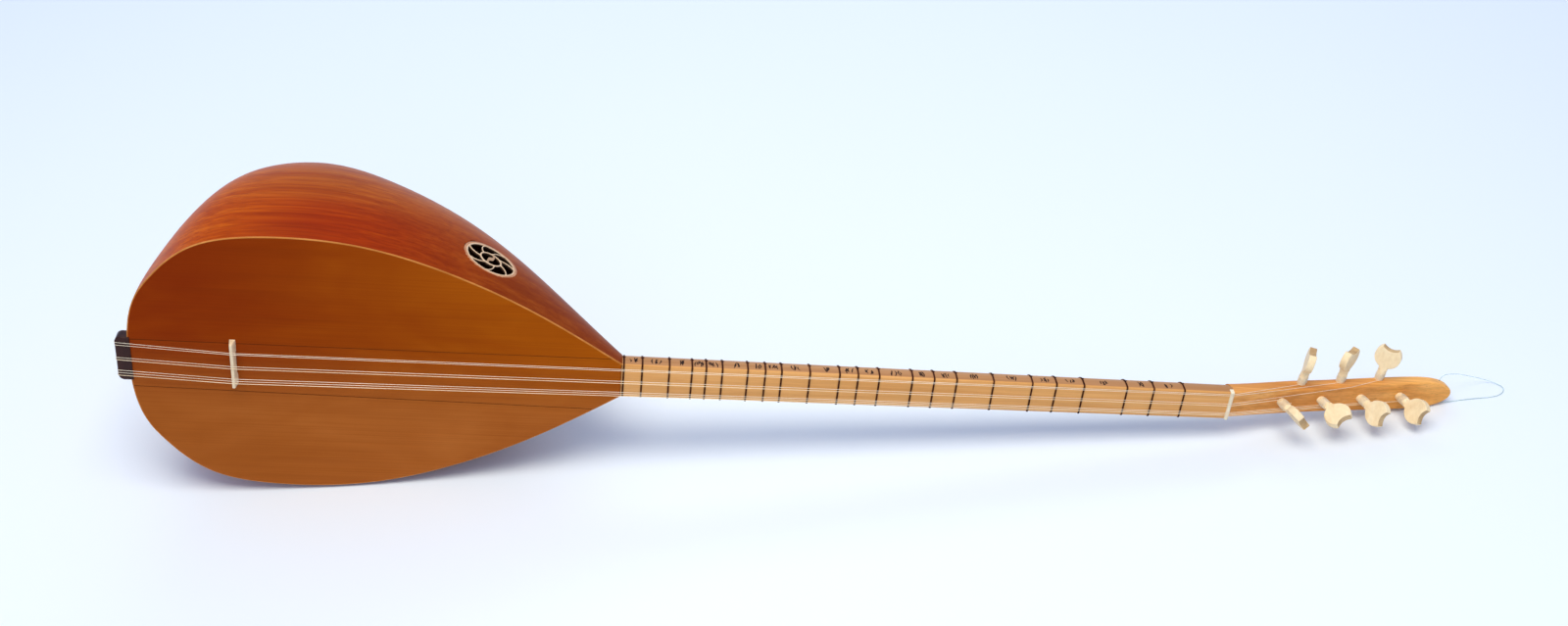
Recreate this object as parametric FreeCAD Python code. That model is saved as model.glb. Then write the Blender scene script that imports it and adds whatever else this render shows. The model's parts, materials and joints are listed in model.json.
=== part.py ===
# Long-neck saz (baglama) resting on the side of its bowl.
#
# Each piece is drawn in the instrument's own frame, in millimetres:
#   x runs along the neck, 0 where the neck meets the bowl, positive towards the head
#   y runs back from the front face of the soundboard into the bowl
#   z runs across the soundboard
# One rigid placement at the end lays every piece in its resting pose, +Z up.

import FreeCAD
import Part
import math
import os

Vector = FreeCAD.Vector

# ---------------------------------------------------------------- driving dimensions

SCALE_LENGTH = 880.0
NECK_LENGTH = 550.0
BRIDGE_X = NECK_LENGTH - SCALE_LENGTH

# The bowl's shape: (x, half width of the soundboard, depth of the back) at each station.
HULL_STATIONS = [
    (-418.0, 0.0, 0.0),
    (-411.0, 56.0, 42.0),
    (-394.0, 85.0, 102.0),
    (-369.0, 110.0, 170.0),
    (-331.0, 126.0, 222.0),
    (-280.0, 130.0, 237.0),
    (-217.0, 124.0, 214.0),
    (-142.0, 100.0, 168.0),
    (-66.0, 61.0, 95.0),
    (0.0, 17.3, 27.0),
]
BOWL_LENGTH = -HULL_STATIONS[0][0]
HULL_FULLNESS = 2.6          # exponent of the cross-section: 2 is an ellipse, more is boxier
HULL_ROWS = 44
HULL_COLUMNS = 36
TAIL_FLAT_START = 0.022      # share of the hull line left off at the tail, under the tailpiece
BOWL_WALL = 3.6
BLOCK_GAP = 0.05             # glue gap between the bowl and what is glued inside it

BOARD_THICKNESS = 3.0
BINDING_WIDTH = 1.3
SEAM_WIDTH = 0.8
UPPER_SEAM_Z = (22.0, 22.5)      # at the tail and at the neck joint
LOWER_SEAM_Z = (-26.5, -32.5)
BRACE_X = (-255.0, -135.0)
BRACE_WIDTH = 8.0
BRACE_HEIGHT = 12.0

NECK_HALF_WIDTH_JOINT = 17.3
NECK_HALF_WIDTH_NUT = 14.8
NECK_CORNER = 0.09           # the neck's section, as shares of its half width
NECK_SIDE = 0.42
NECK_FLANK_RADIUS = 1.17
NECK_FLANK_ANGLE = 45.0
TENON_LENGTH = 45.0
TENON_HALF_WIDTH = 9.0
TENON_FRONT = 4.5
TENON_BACK = 19.0
NECK_BLOCK_LENGTH = 62.0
TAIL_BLOCK_LENGTH = 22.0
TAIL_BLOCK_DEPTH = 62.0

FRET_CENTS = (90, 150, 204, 294, 354, 408, 498, 588, 645, 702, 792, 852,
              906, 996, 1086, 1140, 1200, 1290, 1350, 1404, 1494, 1608, 1690)
FRET_WIRE = 0.6
FRET_PITCH = 0.75            # between the two turns of a tied fret
FRET_GAP = 0.02              # between the wire and the neck

NUT_THICKNESS = 3.6
NUT_HEIGHT = 1.6
NUT_DEPTH = 5.0

HEAD_ANGLE = 8.0             # the head leans back from the neck
HEAD_LENGTH = 226.0
HEAD_SET_BACK = 1.4          # the head's front face starts this far behind the neck's
HEAD_THICKNESS_NUT = 20.5
HEAD_THICKNESS_TIP = 13.0
HEAD_HALF_WIDTHS = [(-8.0, 14.8), (0.0, 14.6), (45.0, 13.5), (110.0, 13.6), (172.0, 15.0)]
HEAD_TIP = [(200.0, 14.2), (218.0, 9.6)]
HEAD_EDGE_ROUND = 2.2

FRONT_PEG_FIRST = 51.6       # along the head, from the nut
FRONT_PEG_STEP = 40.0
SIDE_PEG_FIRST = 73.2
SIDE_PEG_STEP = 39.2
PEG_SIDE_DEPTH = 10.2        # the side pegs' holes, behind the head's front face
PEG_FRONT_Z = 1.0
FRONT_PEG_LEAN = 12.0        # towards the tip
SIDE_PEG_LEAN = 5.0
PEG_RADIUS = 4.0
PEG_CLEARANCE = 0.05
PEG_SHAFT_OUT = 13.0         # bare shaft between the head and the handle
PEG_HANDLE_RADIUS = 12.0
PEG_HANDLE_LENGTH = 23.0
PEG_HANDLE_THICKNESS = 6.8
PEG_NOTCH = 2.7
PEG_TAIL_OUT = 2.0
PEG_WAIST = 4.6              # half width of the handle where it leaves the shaft
PEG_HORN_TURN = 52.0         # where the handle's round sides end, up at the notch
PEG_CHEEK_TURN = -63.0       # and down at the shaft
PEG_HANDLE_LIFT = 1.5

# Handle turn of each peg about its own axis, degrees, from the nut outwards.
FRONT_PEG_TURNS = (-50.0, 33.0, 70.0, 67.0)
SIDE_PEG_TURNS = (63.0, 35.0, -42.0)

PLAIN_STRING = 0.36
WOUND_STRING = 0.5
BRIDGE_HEIGHT = 9.0
BRIDGE_LENGTH = 45.0
BRIDGE_CENTRE_Z = 3.5
BRIDGE_FOOT = 5.0
BRIDGE_CREST = 2.6
BRIDGE_RELIEF = 1.6          # height and inset of the gap between its two feet
BRIDGE_FOOT_LENGTH = 11.0
BRIDGE_GAP = 0.05
BRIDGE_STRING_GAP = 0.4
NUT_STRING_GAP = 0.3
NUT_CREST_X = 0.4            # the strings bend just past the middle of the nut
WINDING_TURNS = 7
WINDING_PITCH = 0.56
WINDING_BASE = {"front": 2.4, "side": 2.0}   # height above the head at which a string arrives
WINDING_START = 0.9          # first ring above that
STRING_OFF_PEG = 0.36        # gap between a string's straight end and the peg beside it
STRING_OFF_TAILPIECE = 0.06
STRING_BEND = 1.2            # bend radius of the strings over the nut and the bridge

# Strings across the instrument: z at the tailpiece, bridge and nut, and the peg each goes to.
STRINGS = [
    (19.0, 18.0, 13.5, "side_1", PLAIN_STRING),
    (16.4, 16.4, 12.1, "side_2", PLAIN_STRING),
    (3.6, 4.2, 3.0, "side_3", PLAIN_STRING),
    (1.2, 1.8, 0.9, "front_1", WOUND_STRING),
    (-9.6, -8.8, -7.0, "front_2", PLAIN_STRING),
    (-12.2, -11.2, -8.4, "front_3", PLAIN_STRING),
    (-14.8, -13.6, -9.8, "front_4", WOUND_STRING),
]

TAILPIECE_OUT = 9.5
TAILPIECE_DEPTH = 12.0
TAILPIECE_PROUD = 1.2
TAILPIECE_LENGTH = 44.0
TAILPIECE_CENTRE_Z = 2.0
TAILPIECE_CORNER = 5.0
TAILPIECE_EDGE = 1.4

ROSETTE_X = -117.0
ROSETTE_TURN = 20.0          # round the hull's section, from the soundboard's edge
ROSETTE_RADIUS = 25.0
ROSETTE_RIM = 21.8           # inside of the outer ring
ROSETTE_HUB_RING = 10.4      # outside and inside of the ring round the hub
ROSETTE_HUB_INNER = 9.0
ROSETTE_HUB = 3.0
ROSETTE_HUB_SPAN = 130.0     # how far round each of the hub's two windows reaches
ROSETTE_HUB_STARTS = (-70.0, 110.0)
ROSETTE_PHASE = -3.0
ROSETTE_THICKNESS = 2.4
ROSETTE_VANES = 7
ROSETTE_SWEEP = -29.0
ROSETTE_BEND = 0.54          # share of the sweep that a vane has turned halfway out
ROSETTE_VANE_WIDTH = 1.5
VANE_RISE_IN = 0.95          # sine of the angle at which a vane leaves the hub ring
VANE_RISE_OUT = 0.68          # and at which it meets the rim

LOOP_HOLE_ALONG = 214.0      # along the head
LOOP_HOLE_DEPTH = 7.0
LOOP_HOLE_RADIUS = 1.0
LOOP_DIAMETER = 0.7

# The nylon loop's route, in the resting frame: up out of the head's upper side, over and down
# to the surface beyond the tip, back along the surface and up into the head's lower side.
LOOP_ROUTE = [
    (586.33, -66.55, 22.9),
    (586.75, -66.3, 27.3),
    (590.0, -65.6, 30.2),
    (596.5, -63.5, 29.2),
    (606.0, -58.5, 24.5),
    (618.0, -52.5, 17.0),
    (631.0, -47.8, 9.6),
    (643.0, -45.6, 3.9),
    (652.5, -47.6, 1.0),
    (657.5, -53.0, 0.45),
    (655.5, -60.0, 0.4),
    (648.0, -65.0, 0.4),
    (637.0, -66.9, 0.4),
    (624.0, -67.2, 0.4),
    (611.0, -68.6, 0.4),
    (600.0, -70.0, 0.4),
    (592.5, -70.2, 0.4),
    (588.0, -69.6, 0.4),
    (583.62, -68.45, 0.5),
    (584.0, -68.15, 4.0),
]

REST_ROLL = 4.5              # the soundboard leans back
REST_PITCH = 6.521           # the neck slopes down to the head


# ---------------------------------------------------------------- small helpers

def box(x0, x1, y0, y1, z0, z1):
    return Part.makeBox(x1 - x0, y1 - y0, z1 - z0, Vector(x0, y0, z0))


def plate(points, y0, y1):
    """A flat polygon in the x-z plane, thickened from y0 to y1."""
    corners = [Vector(x, y0, z) for x, z in points]
    face = Part.Face(Part.makePolygon(corners + corners[:1]))
    return face.extrude(Vector(0, y1 - y0, 0))


def frame_at(origin, x_direction, z_direction):
    """Placement with the given local X and Z directions."""
    z_axis = Vector(z_direction).normalize()
    x_axis = Vector(x_direction)
    x_axis = (x_axis - z_axis * x_axis.dot(z_axis)).normalize()
    y_axis = z_axis.cross(x_axis)
    rotation = FreeCAD.Rotation(x_axis, y_axis, z_axis, "ZXY")
    return FreeCAD.Placement(origin, rotation)


def between(pair, share):
    return pair[0] + (pair[1] - pair[0]) * share


# ---------------------------------------------------------------- the bowl's hull

def hull_line(inset):
    """Spline through the stations, drawn in by inset at the tail, the sides and the back."""
    points = []
    for x, half_width, depth in HULL_STATIONS:
        x_in = x * (BOWL_LENGTH - inset) / BOWL_LENGTH
        points.append(Vector(x_in, max(half_width - inset, 0.0), max(depth - inset, 0.0)))
    line = Part.BSplineCurve()
    line.interpolate(points)
    return line


def hull_point(line, share, angle):
    """Point on the hull: share along the line, angle round the section from +z."""
    first = line.FirstParameter
    station = line.value(first + (line.LastParameter - first) * share)
    cosine = math.cos(angle)
    sine = math.sin(angle)
    reach = (abs(cosine) ** HULL_FULLNESS + abs(sine) ** HULL_FULLNESS) ** (-1.0 / HULL_FULLNESS)
    return Vector(station.x, station.z * reach * sine, station.y * reach * cosine)


def hull_solid(inset):
    """Closed solid of the hull: curved back, flat front at y = 0, flat ends."""
    line = hull_line(inset)
    grid = []
    for row in range(HULL_ROWS + 1):
        share = TAIL_FLAT_START + (1.0 - TAIL_FLAT_START) * row / HULL_ROWS
        turns = [math.pi * k / HULL_COLUMNS for k in range(HULL_COLUMNS + 1)]
        ring = [hull_point(line, share, turn) for turn in turns]
        ring[0].y = 0.0
        ring[-1].y = 0.0
        grid.append(ring)
    surface = Part.BSplineSurface()
    surface.interpolate(grid)
    back = surface.toShape()
    ends = [edge_between(back, ring[0], ring[-1]) for ring in (grid[0], grid[-1])]
    sides = [edge_between(back, grid[0][k], grid[-1][k]) for k in (0, -1)]
    chords = [Part.makeLine(ring[0], ring[-1]) for ring in (grid[0], grid[-1])]
    faces = [back]
    for end, chord in zip(ends, chords):
        faces.append(Part.Face(Part.Wire(Part.__sortEdges__([end, chord]))))
    faces.append(Part.Face(Part.Wire(Part.__sortEdges__(sides + chords))))
    shell = Part.makeShell(faces)
    shell.sewShape()
    solid = Part.makeSolid(shell)
    if solid.Volume < 0:
        solid.reverse()
    return solid


def edge_between(face, start, end):
    """The face's edge that joins two of its corners."""
    for edge in face.Edges:
        ends = [vertex.Point for vertex in edge.Vertexes]
        if len(ends) == 2:
            apart = min(
                ends[0].distanceToPoint(start) + ends[1].distanceToPoint(end),
                ends[1].distanceToPoint(start) + ends[0].distanceToPoint(end),
            )
            if apart < 1e-3:
                return edge
    raise ValueError("no such edge on the hull")


def rosette_place():
    """Where the rosette sits on the hull: a placement with its Z along the outward normal."""
    line = hull_line(0.0)
    low = 0.3
    high = 1.0
    for _ in range(50):
        middle = (low + high) / 2
        if hull_point(line, middle, 0.0).x < ROSETTE_X:
            low = middle
        else:
            high = middle
    turn = math.radians(ROSETTE_TURN)
    step = 1e-3
    centre = hull_point(line, low, turn)
    along = hull_point(line, low + step, turn) - hull_point(line, low - step, turn)
    around = hull_point(line, low, turn + step) - hull_point(line, low, turn - step)
    normal = along.cross(around)
    if normal.z < 0:
        normal = normal * -1.0
    return frame_at(centre, along, normal)


def make_bowl(outer, inner, rosette):
    front = box(-500, 10, -5, BOARD_THICKNESS, -200, 200)
    mouth = [face for face in inner.Faces if abs(face.CenterOfMass.x) < 1e-3][0]
    plug = mouth.extrude(Vector(3, 0, 0))
    plug.translate(Vector(-1, 0, 0))
    bowl = outer.cut(front).cut(inner).cut(plug)
    hole = Part.makeCylinder(ROSETTE_RADIUS, 60, Vector(0, 0, -30))
    hole.Placement = rosette
    return bowl.cut(hole)


# ---------------------------------------------------------------- soundboard

def seam_z(pair, x):
    return between(pair, (x + BOWL_LENGTH) / BOWL_LENGTH)


def seam_strip(pair, grow):
    """Prism along a seam line, wider than the seam by grow on each side."""
    half = SEAM_WIDTH / 2 + grow
    x0 = -BOWL_LENGTH - 10
    x1 = 10
    points = [
        (x0, seam_z(pair, x0) - half),
        (x1, seam_z(pair, x1) - half),
        (x1, seam_z(pair, x1) + half),
        (x0, seam_z(pair, x0) + half),
    ]
    return plate(points, -1, BOARD_THICKNESS + 1)


def board_region(low, high):
    """Prism of the board between two lines, each a (z at tail, z at joint) pair."""
    x0 = -BOWL_LENGTH - 10
    x1 = 10
    points = [(x0, seam_z(low, x0)), (x1, seam_z(low, x1)), (x1, seam_z(high, x1)), (x0, seam_z(high, x0))]
    return plate(points, -1, BOARD_THICKNESS + 1)


def make_soundboard(outer):
    """Binding, three boards and the two dark seams between them."""
    blank = outer.common(box(-500, 10, -5, BOARD_THICKNESS, -200, 200))
    inside = hull_solid(BINDING_WIDTH)
    front = [face for face in inside.Faces if abs(face.CenterOfMass.y) < 1e-3][0]
    core = front.extrude(Vector(0, BOARD_THICKNESS + 4, 0))
    core.translate(Vector(0, -2, 0))
    binding = blank.cut(core)
    board = blank.common(core)
    half = SEAM_WIDTH / 2
    upper_line = (UPPER_SEAM_Z[0] + half, UPPER_SEAM_Z[1] + half)
    upper_low = (UPPER_SEAM_Z[0] - half, UPPER_SEAM_Z[1] - half)
    lower_high = (LOWER_SEAM_Z[0] + half, LOWER_SEAM_Z[1] + half)
    lower_line = (LOWER_SEAM_Z[0] - half, LOWER_SEAM_Z[1] - half)
    upper = board.common(board_region(upper_line, (200, 200)))
    centre = board.common(board_region(lower_high, upper_low))
    lower = board.common(board_region((-200, -200), lower_line))
    seams = [board.common(seam_strip(pair, 0)) for pair in (UPPER_SEAM_Z, LOWER_SEAM_Z)]
    return binding, upper, centre, lower, Part.makeCompound(seams)


def make_braces(inside):
    bars = []
    for x in BRACE_X:
        bar = box(x - BRACE_WIDTH / 2, x + BRACE_WIDTH / 2,
                  BOARD_THICKNESS, BOARD_THICKNESS + BRACE_HEIGHT, -200, 200)
        bars.append(inside.common(bar))
    return Part.makeCompound(bars)


# ---------------------------------------------------------------- rosette

def polar(radius, degrees):
    angle = math.radians(degrees)
    return Vector(radius * math.cos(angle), radius * math.sin(angle), 0)


def opening(points):
    """Prism through four corners; each side bows through its own middle point."""
    edges = []
    for start, middle, end in points:
        edges.append(Part.Arc(start, middle, end).toShape())
    face = Part.Face(Part.Wire(edges))
    prism = face.extrude(Vector(0, 0, 40))
    prism.translate(Vector(0, 0, -20))
    return prism


def vane_opening(turn):
    """One curved window between two vanes, from the hub ring out to the rim."""
    width_in = math.degrees(ROSETTE_VANE_WIDTH / (ROSETTE_HUB_RING * VANE_RISE_IN)) / 2
    width_out = math.degrees(ROSETTE_VANE_WIDTH / (ROSETTE_RIM * VANE_RISE_OUT)) / 2
    share = 360.0 / ROSETTE_VANES
    middle = (ROSETTE_HUB_RING + ROSETTE_RIM) / 2 + 1.2
    bend = ROSETTE_SWEEP * ROSETTE_BEND
    a_in = turn + width_in
    b_in = turn + share - width_in
    a_out = turn + ROSETTE_SWEEP + width_out
    b_out = turn + share + ROSETTE_SWEEP - width_out
    a = (polar(ROSETTE_HUB_RING, a_in), polar(middle, a_in + bend), polar(ROSETTE_RIM, a_out))
    b = (polar(ROSETTE_RIM, b_out), polar(middle, b_in + bend), polar(ROSETTE_HUB_RING, b_in))
    rim_middle = polar(ROSETTE_RIM, (a_out + b_out) / 2)
    hub_middle = polar(ROSETTE_HUB_RING, (a_in + b_in) / 2)
    return opening([a, (a[2], rim_middle, b[0]), b, (b[2], hub_middle, a[0])])


def hub_opening(a):
    """One of the two comma-shaped windows inside the hub ring, starting at angle a."""
    b = a + ROSETTE_HUB_SPAN
    middle = (ROSETTE_HUB + ROSETTE_HUB_INNER) / 2
    first = (polar(ROSETTE_HUB, a), polar(middle, a - 16), polar(ROSETTE_HUB_INNER, a))
    last = (polar(ROSETTE_HUB_INNER, b), polar(middle, b - 16), polar(ROSETTE_HUB, b))
    outer_middle = polar(ROSETTE_HUB_INNER, (a + b) / 2)
    inner_middle = polar(ROSETTE_HUB, (a + b) / 2)
    return opening([first, (first[2], outer_middle, last[0]), last, (last[2], inner_middle, first[0])])


def make_rosette(outer, place):
    """Disc let into the bowl, flush with its outside, pierced by curved windows."""
    disc = Part.makeCylinder(ROSETTE_RADIUS - BLOCK_GAP, 60, Vector(0, 0, -30))
    for k in range(ROSETTE_VANES):
        disc = disc.cut(vane_opening(ROSETTE_PHASE + 360.0 * k / ROSETTE_VANES))
    for start in ROSETTE_HUB_STARTS:
        disc = disc.cut(hub_opening(start))
    disc.Placement = place
    return disc.common(outer).cut(hull_solid(ROSETTE_THICKNESS))


# ---------------------------------------------------------------- neck, frets, nut

def neck_half_width(x):
    return between((NECK_HALF_WIDTH_JOINT, NECK_HALF_WIDTH_NUT), x / NECK_LENGTH)


def neck_section(x, grow):
    """Closed wire round the neck at x: flat front, straight sides, round back."""
    half = neck_half_width(x)
    corner = NECK_CORNER * half
    side = NECK_SIDE * half
    flank = NECK_FLANK_RADIUS * half
    angle = math.radians(NECK_FLANK_ANGLE)
    slide = (half - flank) / math.cos(angle)
    keel_y = side - slide * math.sin(angle)
    keel = flank + slide

    def turn(centre_y, centre_z, radius, degrees):
        a = math.radians(degrees)
        return Vector(x, centre_y + radius * math.sin(a), centre_z + radius * math.cos(a))

    def arc(centre_y, centre_z, radius, a0, a1):
        points = [turn(centre_y, centre_z, radius + grow, a) for a in (a0, (a0 + a1) / 2, a1)]
        return Part.Arc(*points).toShape()

    flank_turn = NECK_FLANK_ANGLE
    edges = [
        arc(corner, half - corner, corner, -90, 0),
        Part.makeLine(Vector(x, corner, half + grow), Vector(x, side, half + grow)),
        arc(side, half - flank, flank, 0, flank_turn),
        arc(keel_y, 0.0, keel, flank_turn, 180 - flank_turn),
        arc(side, flank - half, flank, 180 - flank_turn, 180),
        Part.makeLine(Vector(x, side, -half - grow), Vector(x, corner, -half - grow)),
        arc(corner, corner - half, corner, 180, 270),
        Part.makeLine(Vector(x, -grow, corner - half), Vector(x, -grow, half - corner)),
    ]
    return Part.Wire(edges)


def make_neck(nut_slot):
    end = NECK_LENGTH + NUT_THICKNESS / 2
    stick = Part.makeLoft([neck_section(0, 0), neck_section(end, 0)], True, True)
    tenon = box(-TENON_LENGTH, 1, TENON_FRONT, TENON_BACK, -TENON_HALF_WIDTH, TENON_HALF_WIDTH)
    return stick.fuse(tenon).cut(nut_slot).removeSplitter()


def make_fret(x):
    """A tied fret: two turns of nylon round the neck, side by side."""
    turns = []
    for offset in (-FRET_PITCH / 2, FRET_PITCH / 2):
        path = neck_section(x + offset, FRET_WIRE / 2 + FRET_GAP)
        start = path.Edges[0].valueAt(path.Edges[0].FirstParameter)
        tangent = path.Edges[0].tangentAt(path.Edges[0].FirstParameter)
        profile = Part.Wire(Part.makeCircle(FRET_WIRE / 2, start, tangent))
        turns.append(path.makePipeShell([profile], True, True))
    return Part.makeCompound(turns)


def make_nut(slot):
    half = NECK_HALF_WIDTH_NUT
    block = slot.common(box(0, 700, -NUT_HEIGHT, NUT_DEPTH, -half, half))
    top = [edge for edge in block.Edges if abs(edge.CenterOfMass.y + NUT_HEIGHT) < 1e-6]
    top = [edge for edge in top if edge.Length > NUT_THICKNESS * 2]
    return block.makeFillet(NUT_THICKNESS * 0.3, top)


# ---------------------------------------------------------------- head

def head_place():
    """The head's own frame: X along it, Z out of its front face, Y down across it."""
    lean = math.radians(HEAD_ANGLE)
    along = Vector(math.cos(lean), math.sin(lean), 0)
    front = Vector(math.sin(lean), -math.cos(lean), 0)
    return frame_at(Vector(NECK_LENGTH, HEAD_SET_BACK, 0), along, front)


def head_outline():
    """The head from the front: nearly parallel sides that swell a little, then a round tip."""
    side = [Vector(x, half, 0) for x, half in HEAD_HALF_WIDTHS + HEAD_TIP]
    mirrored = [Vector(p.x, -p.y, 0) for p in side]
    rim = Part.BSplineCurve()
    rim.interpolate(side + [Vector(HEAD_LENGTH, 0, 0)] + mirrored[::-1])
    close = Part.makeLine(mirrored[0], side[0])
    return Part.Wire([rim.toShape(), close])


def make_headstock(head, peg_frames, nut_slot):
    blank = Part.Face(head_outline()).extrude(Vector(0, 0, -HEAD_THICKNESS_NUT))
    taper = math.atan2(HEAD_THICKNESS_NUT - HEAD_THICKNESS_TIP, HEAD_LENGTH)
    under = box(-20, HEAD_LENGTH + 60, -60, 60, -80, 0)
    under.rotate(Vector(0, 0, 0), Vector(0, 1, 0), -math.degrees(taper))
    under.translate(Vector(0, 0, -HEAD_THICKNESS_NUT))
    blank = blank.cut(under)
    rim = []
    for edge in blank.Edges:
        middle = edge.valueAt((edge.FirstParameter + edge.LastParameter) / 2)
        on_front = abs(middle.z) < 1e-3
        if on_front and middle.x > -7 and edge.Length > 20:
            rim.append(edge)
    blank = blank.makeFillet(HEAD_EDGE_ROUND, rim)
    hole_start = Vector(LOOP_HOLE_ALONG, -30, -LOOP_HOLE_DEPTH)
    loop_hole = Part.makeCylinder(LOOP_HOLE_RADIUS, 60, hole_start, Vector(0, 1, 0))
    blank = blank.cut(loop_hole)
    blank.Placement = head
    end = NECK_LENGTH + NUT_THICKNESS / 2
    blank = blank.cut(box(end - 60, end, -50, 80, -60, 60)).cut(nut_slot)
    for frame in peg_frames.values():
        bore = Part.makeCylinder(PEG_RADIUS + PEG_CLEARANCE, 90, Vector(0, 0, -60))
        bore.Placement = frame
        blank = blank.cut(bore)
    return blank


# ---------------------------------------------------------------- pegs

def head_half_width(along):
    """Half width of the head, straight between its stated widths."""
    for (x0, w0), (x1, w1) in zip(HEAD_HALF_WIDTHS, HEAD_HALF_WIDTHS[1:]):
        if along <= x1:
            return between((w0, w1), (along - x0) / (x1 - x0))
    return HEAD_HALF_WIDTHS[-1][1]


def make_peg_frames(head):
    """Each peg's frame: origin where its shaft leaves the head, Z outwards along the shaft."""
    frames = {}
    front_lean = math.radians(FRONT_PEG_LEAN)
    side_lean = math.radians(SIDE_PEG_LEAN)
    along_head = head.Rotation.multVec(Vector(1, 0, 0))
    across = head.Rotation.multVec(Vector(0, 1, 0))
    up_is_plus = across.z > 0
    for k, turn in enumerate(FRONT_PEG_TURNS):
        side = PEG_FRONT_Z if up_is_plus else -PEG_FRONT_Z
        origin = head.multVec(Vector(FRONT_PEG_FIRST + FRONT_PEG_STEP * k, side, 0))
        axis = head.Rotation.multVec(Vector(math.sin(front_lean), 0, math.cos(front_lean)))
        frames["front_%d" % (k + 1)] = turned_frame(origin, along_head, axis, turn)
    for k, turn in enumerate(SIDE_PEG_TURNS):
        along = SIDE_PEG_FIRST + SIDE_PEG_STEP * k
        half = head_half_width(along)
        side = half if up_is_plus else -half
        origin = head.multVec(Vector(along, side, -PEG_SIDE_DEPTH))
        axis = along_head * math.sin(side_lean) + Vector(0, 0, math.cos(side_lean))
        frames["side_%d" % (k + 1)] = turned_frame(origin, along_head, axis, turn)
    return frames


def turned_frame(origin, reference, axis, turn):
    spin = FreeCAD.Placement(Vector(0, 0, 0), FreeCAD.Rotation(Vector(0, 0, 1), turn))
    return frame_at(origin, reference, axis).multiply(spin)


def make_peg(frame, reach):
    """Friction peg: round shaft right through the head, flat round handle with a notch."""
    shaft = Part.makeCylinder(PEG_RADIUS, reach + PEG_SHAFT_OUT + 2, Vector(0, 0, -reach))
    radius = PEG_HANDLE_RADIUS
    centre = PEG_SHAFT_OUT + PEG_HANDLE_LENGTH - radius + PEG_HANDLE_LIFT
    horn = math.radians(PEG_HORN_TURN)
    cheek = math.radians(PEG_CHEEK_TURN)
    horn_z = centre + radius * math.sin(horn)
    left = [
        Vector(-PEG_WAIST, 0, PEG_SHAFT_OUT),
        Vector(-radius * math.cos(cheek), 0, centre + radius * math.sin(cheek)),
        Vector(-radius, 0, centre),
        Vector(-radius * math.cos(horn), 0, horn_z),
    ]
    right = [Vector(-p.x, 0, p.z) for p in left]
    notch = Vector(0, 0, horn_z - PEG_NOTCH)
    edges = [
        Part.makeLine(left[0], left[1]),
        Part.Arc(left[1], left[2], left[3]).toShape(),
        Part.Arc(left[3], notch, right[3]).toShape(),
        Part.Arc(right[3], right[2], right[1]).toShape(),
        Part.makeLine(right[1], right[0]),
        Part.makeLine(right[0], left[0]),
    ]
    blade = Part.Face(Part.Wire(edges)).extrude(Vector(0, PEG_HANDLE_THICKNESS, 0))
    blade.translate(Vector(0, -PEG_HANDLE_THICKNESS / 2, 0))
    peg = shaft.fuse(blade).removeSplitter()
    peg.Placement = frame
    return peg


def winding_base(name):
    return WINDING_BASE[name.split("_")[0]]


def make_winding(frame, name, diameter):
    """Turns of string on the peg, each a closed ring."""
    rings = []
    for k in range(WINDING_TURNS):
        height = winding_base(name) + WINDING_START + WINDING_PITCH * k
        radius = PEG_RADIUS + 0.02 + diameter / 2
        rings.append(Part.makeTorus(radius, diameter / 2, Vector(0, 0, height)))
    group = Part.makeCompound(rings)
    group.Placement = frame
    return group


# ---------------------------------------------------------------- strings

def string_radius(points, k):
    """Bend radius at a point of a string's route: small, because steel turns sharply."""
    before = points[k] - points[k - 1]
    after = points[k + 1] - points[k]
    turn = before.getAngle(after)
    return min(STRING_BEND, 0.45 * min(before.Length, after.Length) / math.tan(turn / 2))


def rounded_path(points, radius_at):
    """Straight runs joined by tangent arcs."""
    edges = []
    start = points[0]
    for k in range(1, len(points) - 1):
        corner = points[k]
        into = (corner - points[k - 1]).normalize()
        out = (points[k + 1] - corner).normalize()
        turn = into.getAngle(out)
        radius = radius_at(points, k)
        cut_back = radius * math.tan(turn / 2)
        first = corner - into * cut_back
        last = corner + out * cut_back
        towards = (out - into).normalize()
        centre = corner + towards * (radius / math.cos(turn / 2))
        middle = centre - towards * radius
        edges.append(Part.makeLine(start, first))
        edges.append(Part.Arc(first, middle, last).toShape())
        start = last
    edges.append(Part.makeLine(start, points[-1]))
    return Part.Wire(edges)


def cord_radius(points, k):
    """Bend radius of the nylon loop at a point: as large as its two runs allow."""
    before = points[k] - points[k - 1]
    after = points[k + 1] - points[k]
    turn = before.getAngle(after)
    return 0.45 * min(before.Length, after.Length) / math.tan(turn / 2)


def make_loop():
    points = [Vector(*corner) for corner in LOOP_ROUTE]
    path = rounded_path(points, cord_radius)
    loop = tube(path, LOOP_DIAMETER)
    radii = [cord_radius(points, k) for k in range(1, len(points) - 1)]
    print("loop radii", " ".join("%.1f" % radius for radius in radii))
    section = math.pi * LOOP_DIAMETER ** 2 / 4
    print("loop length %.1f, volume %.2f, section x length %.2f"
          % (path.Length, loop.Volume, section * path.Length))
    return loop


def tube(path, diameter):
    start = path.Edges[0].valueAt(path.Edges[0].FirstParameter)
    tangent = path.Edges[0].tangentAt(path.Edges[0].FirstParameter)
    profile = Part.Wire(Part.makeCircle(diameter / 2, start, tangent))
    return path.makePipeShell([profile], True, False)


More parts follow.
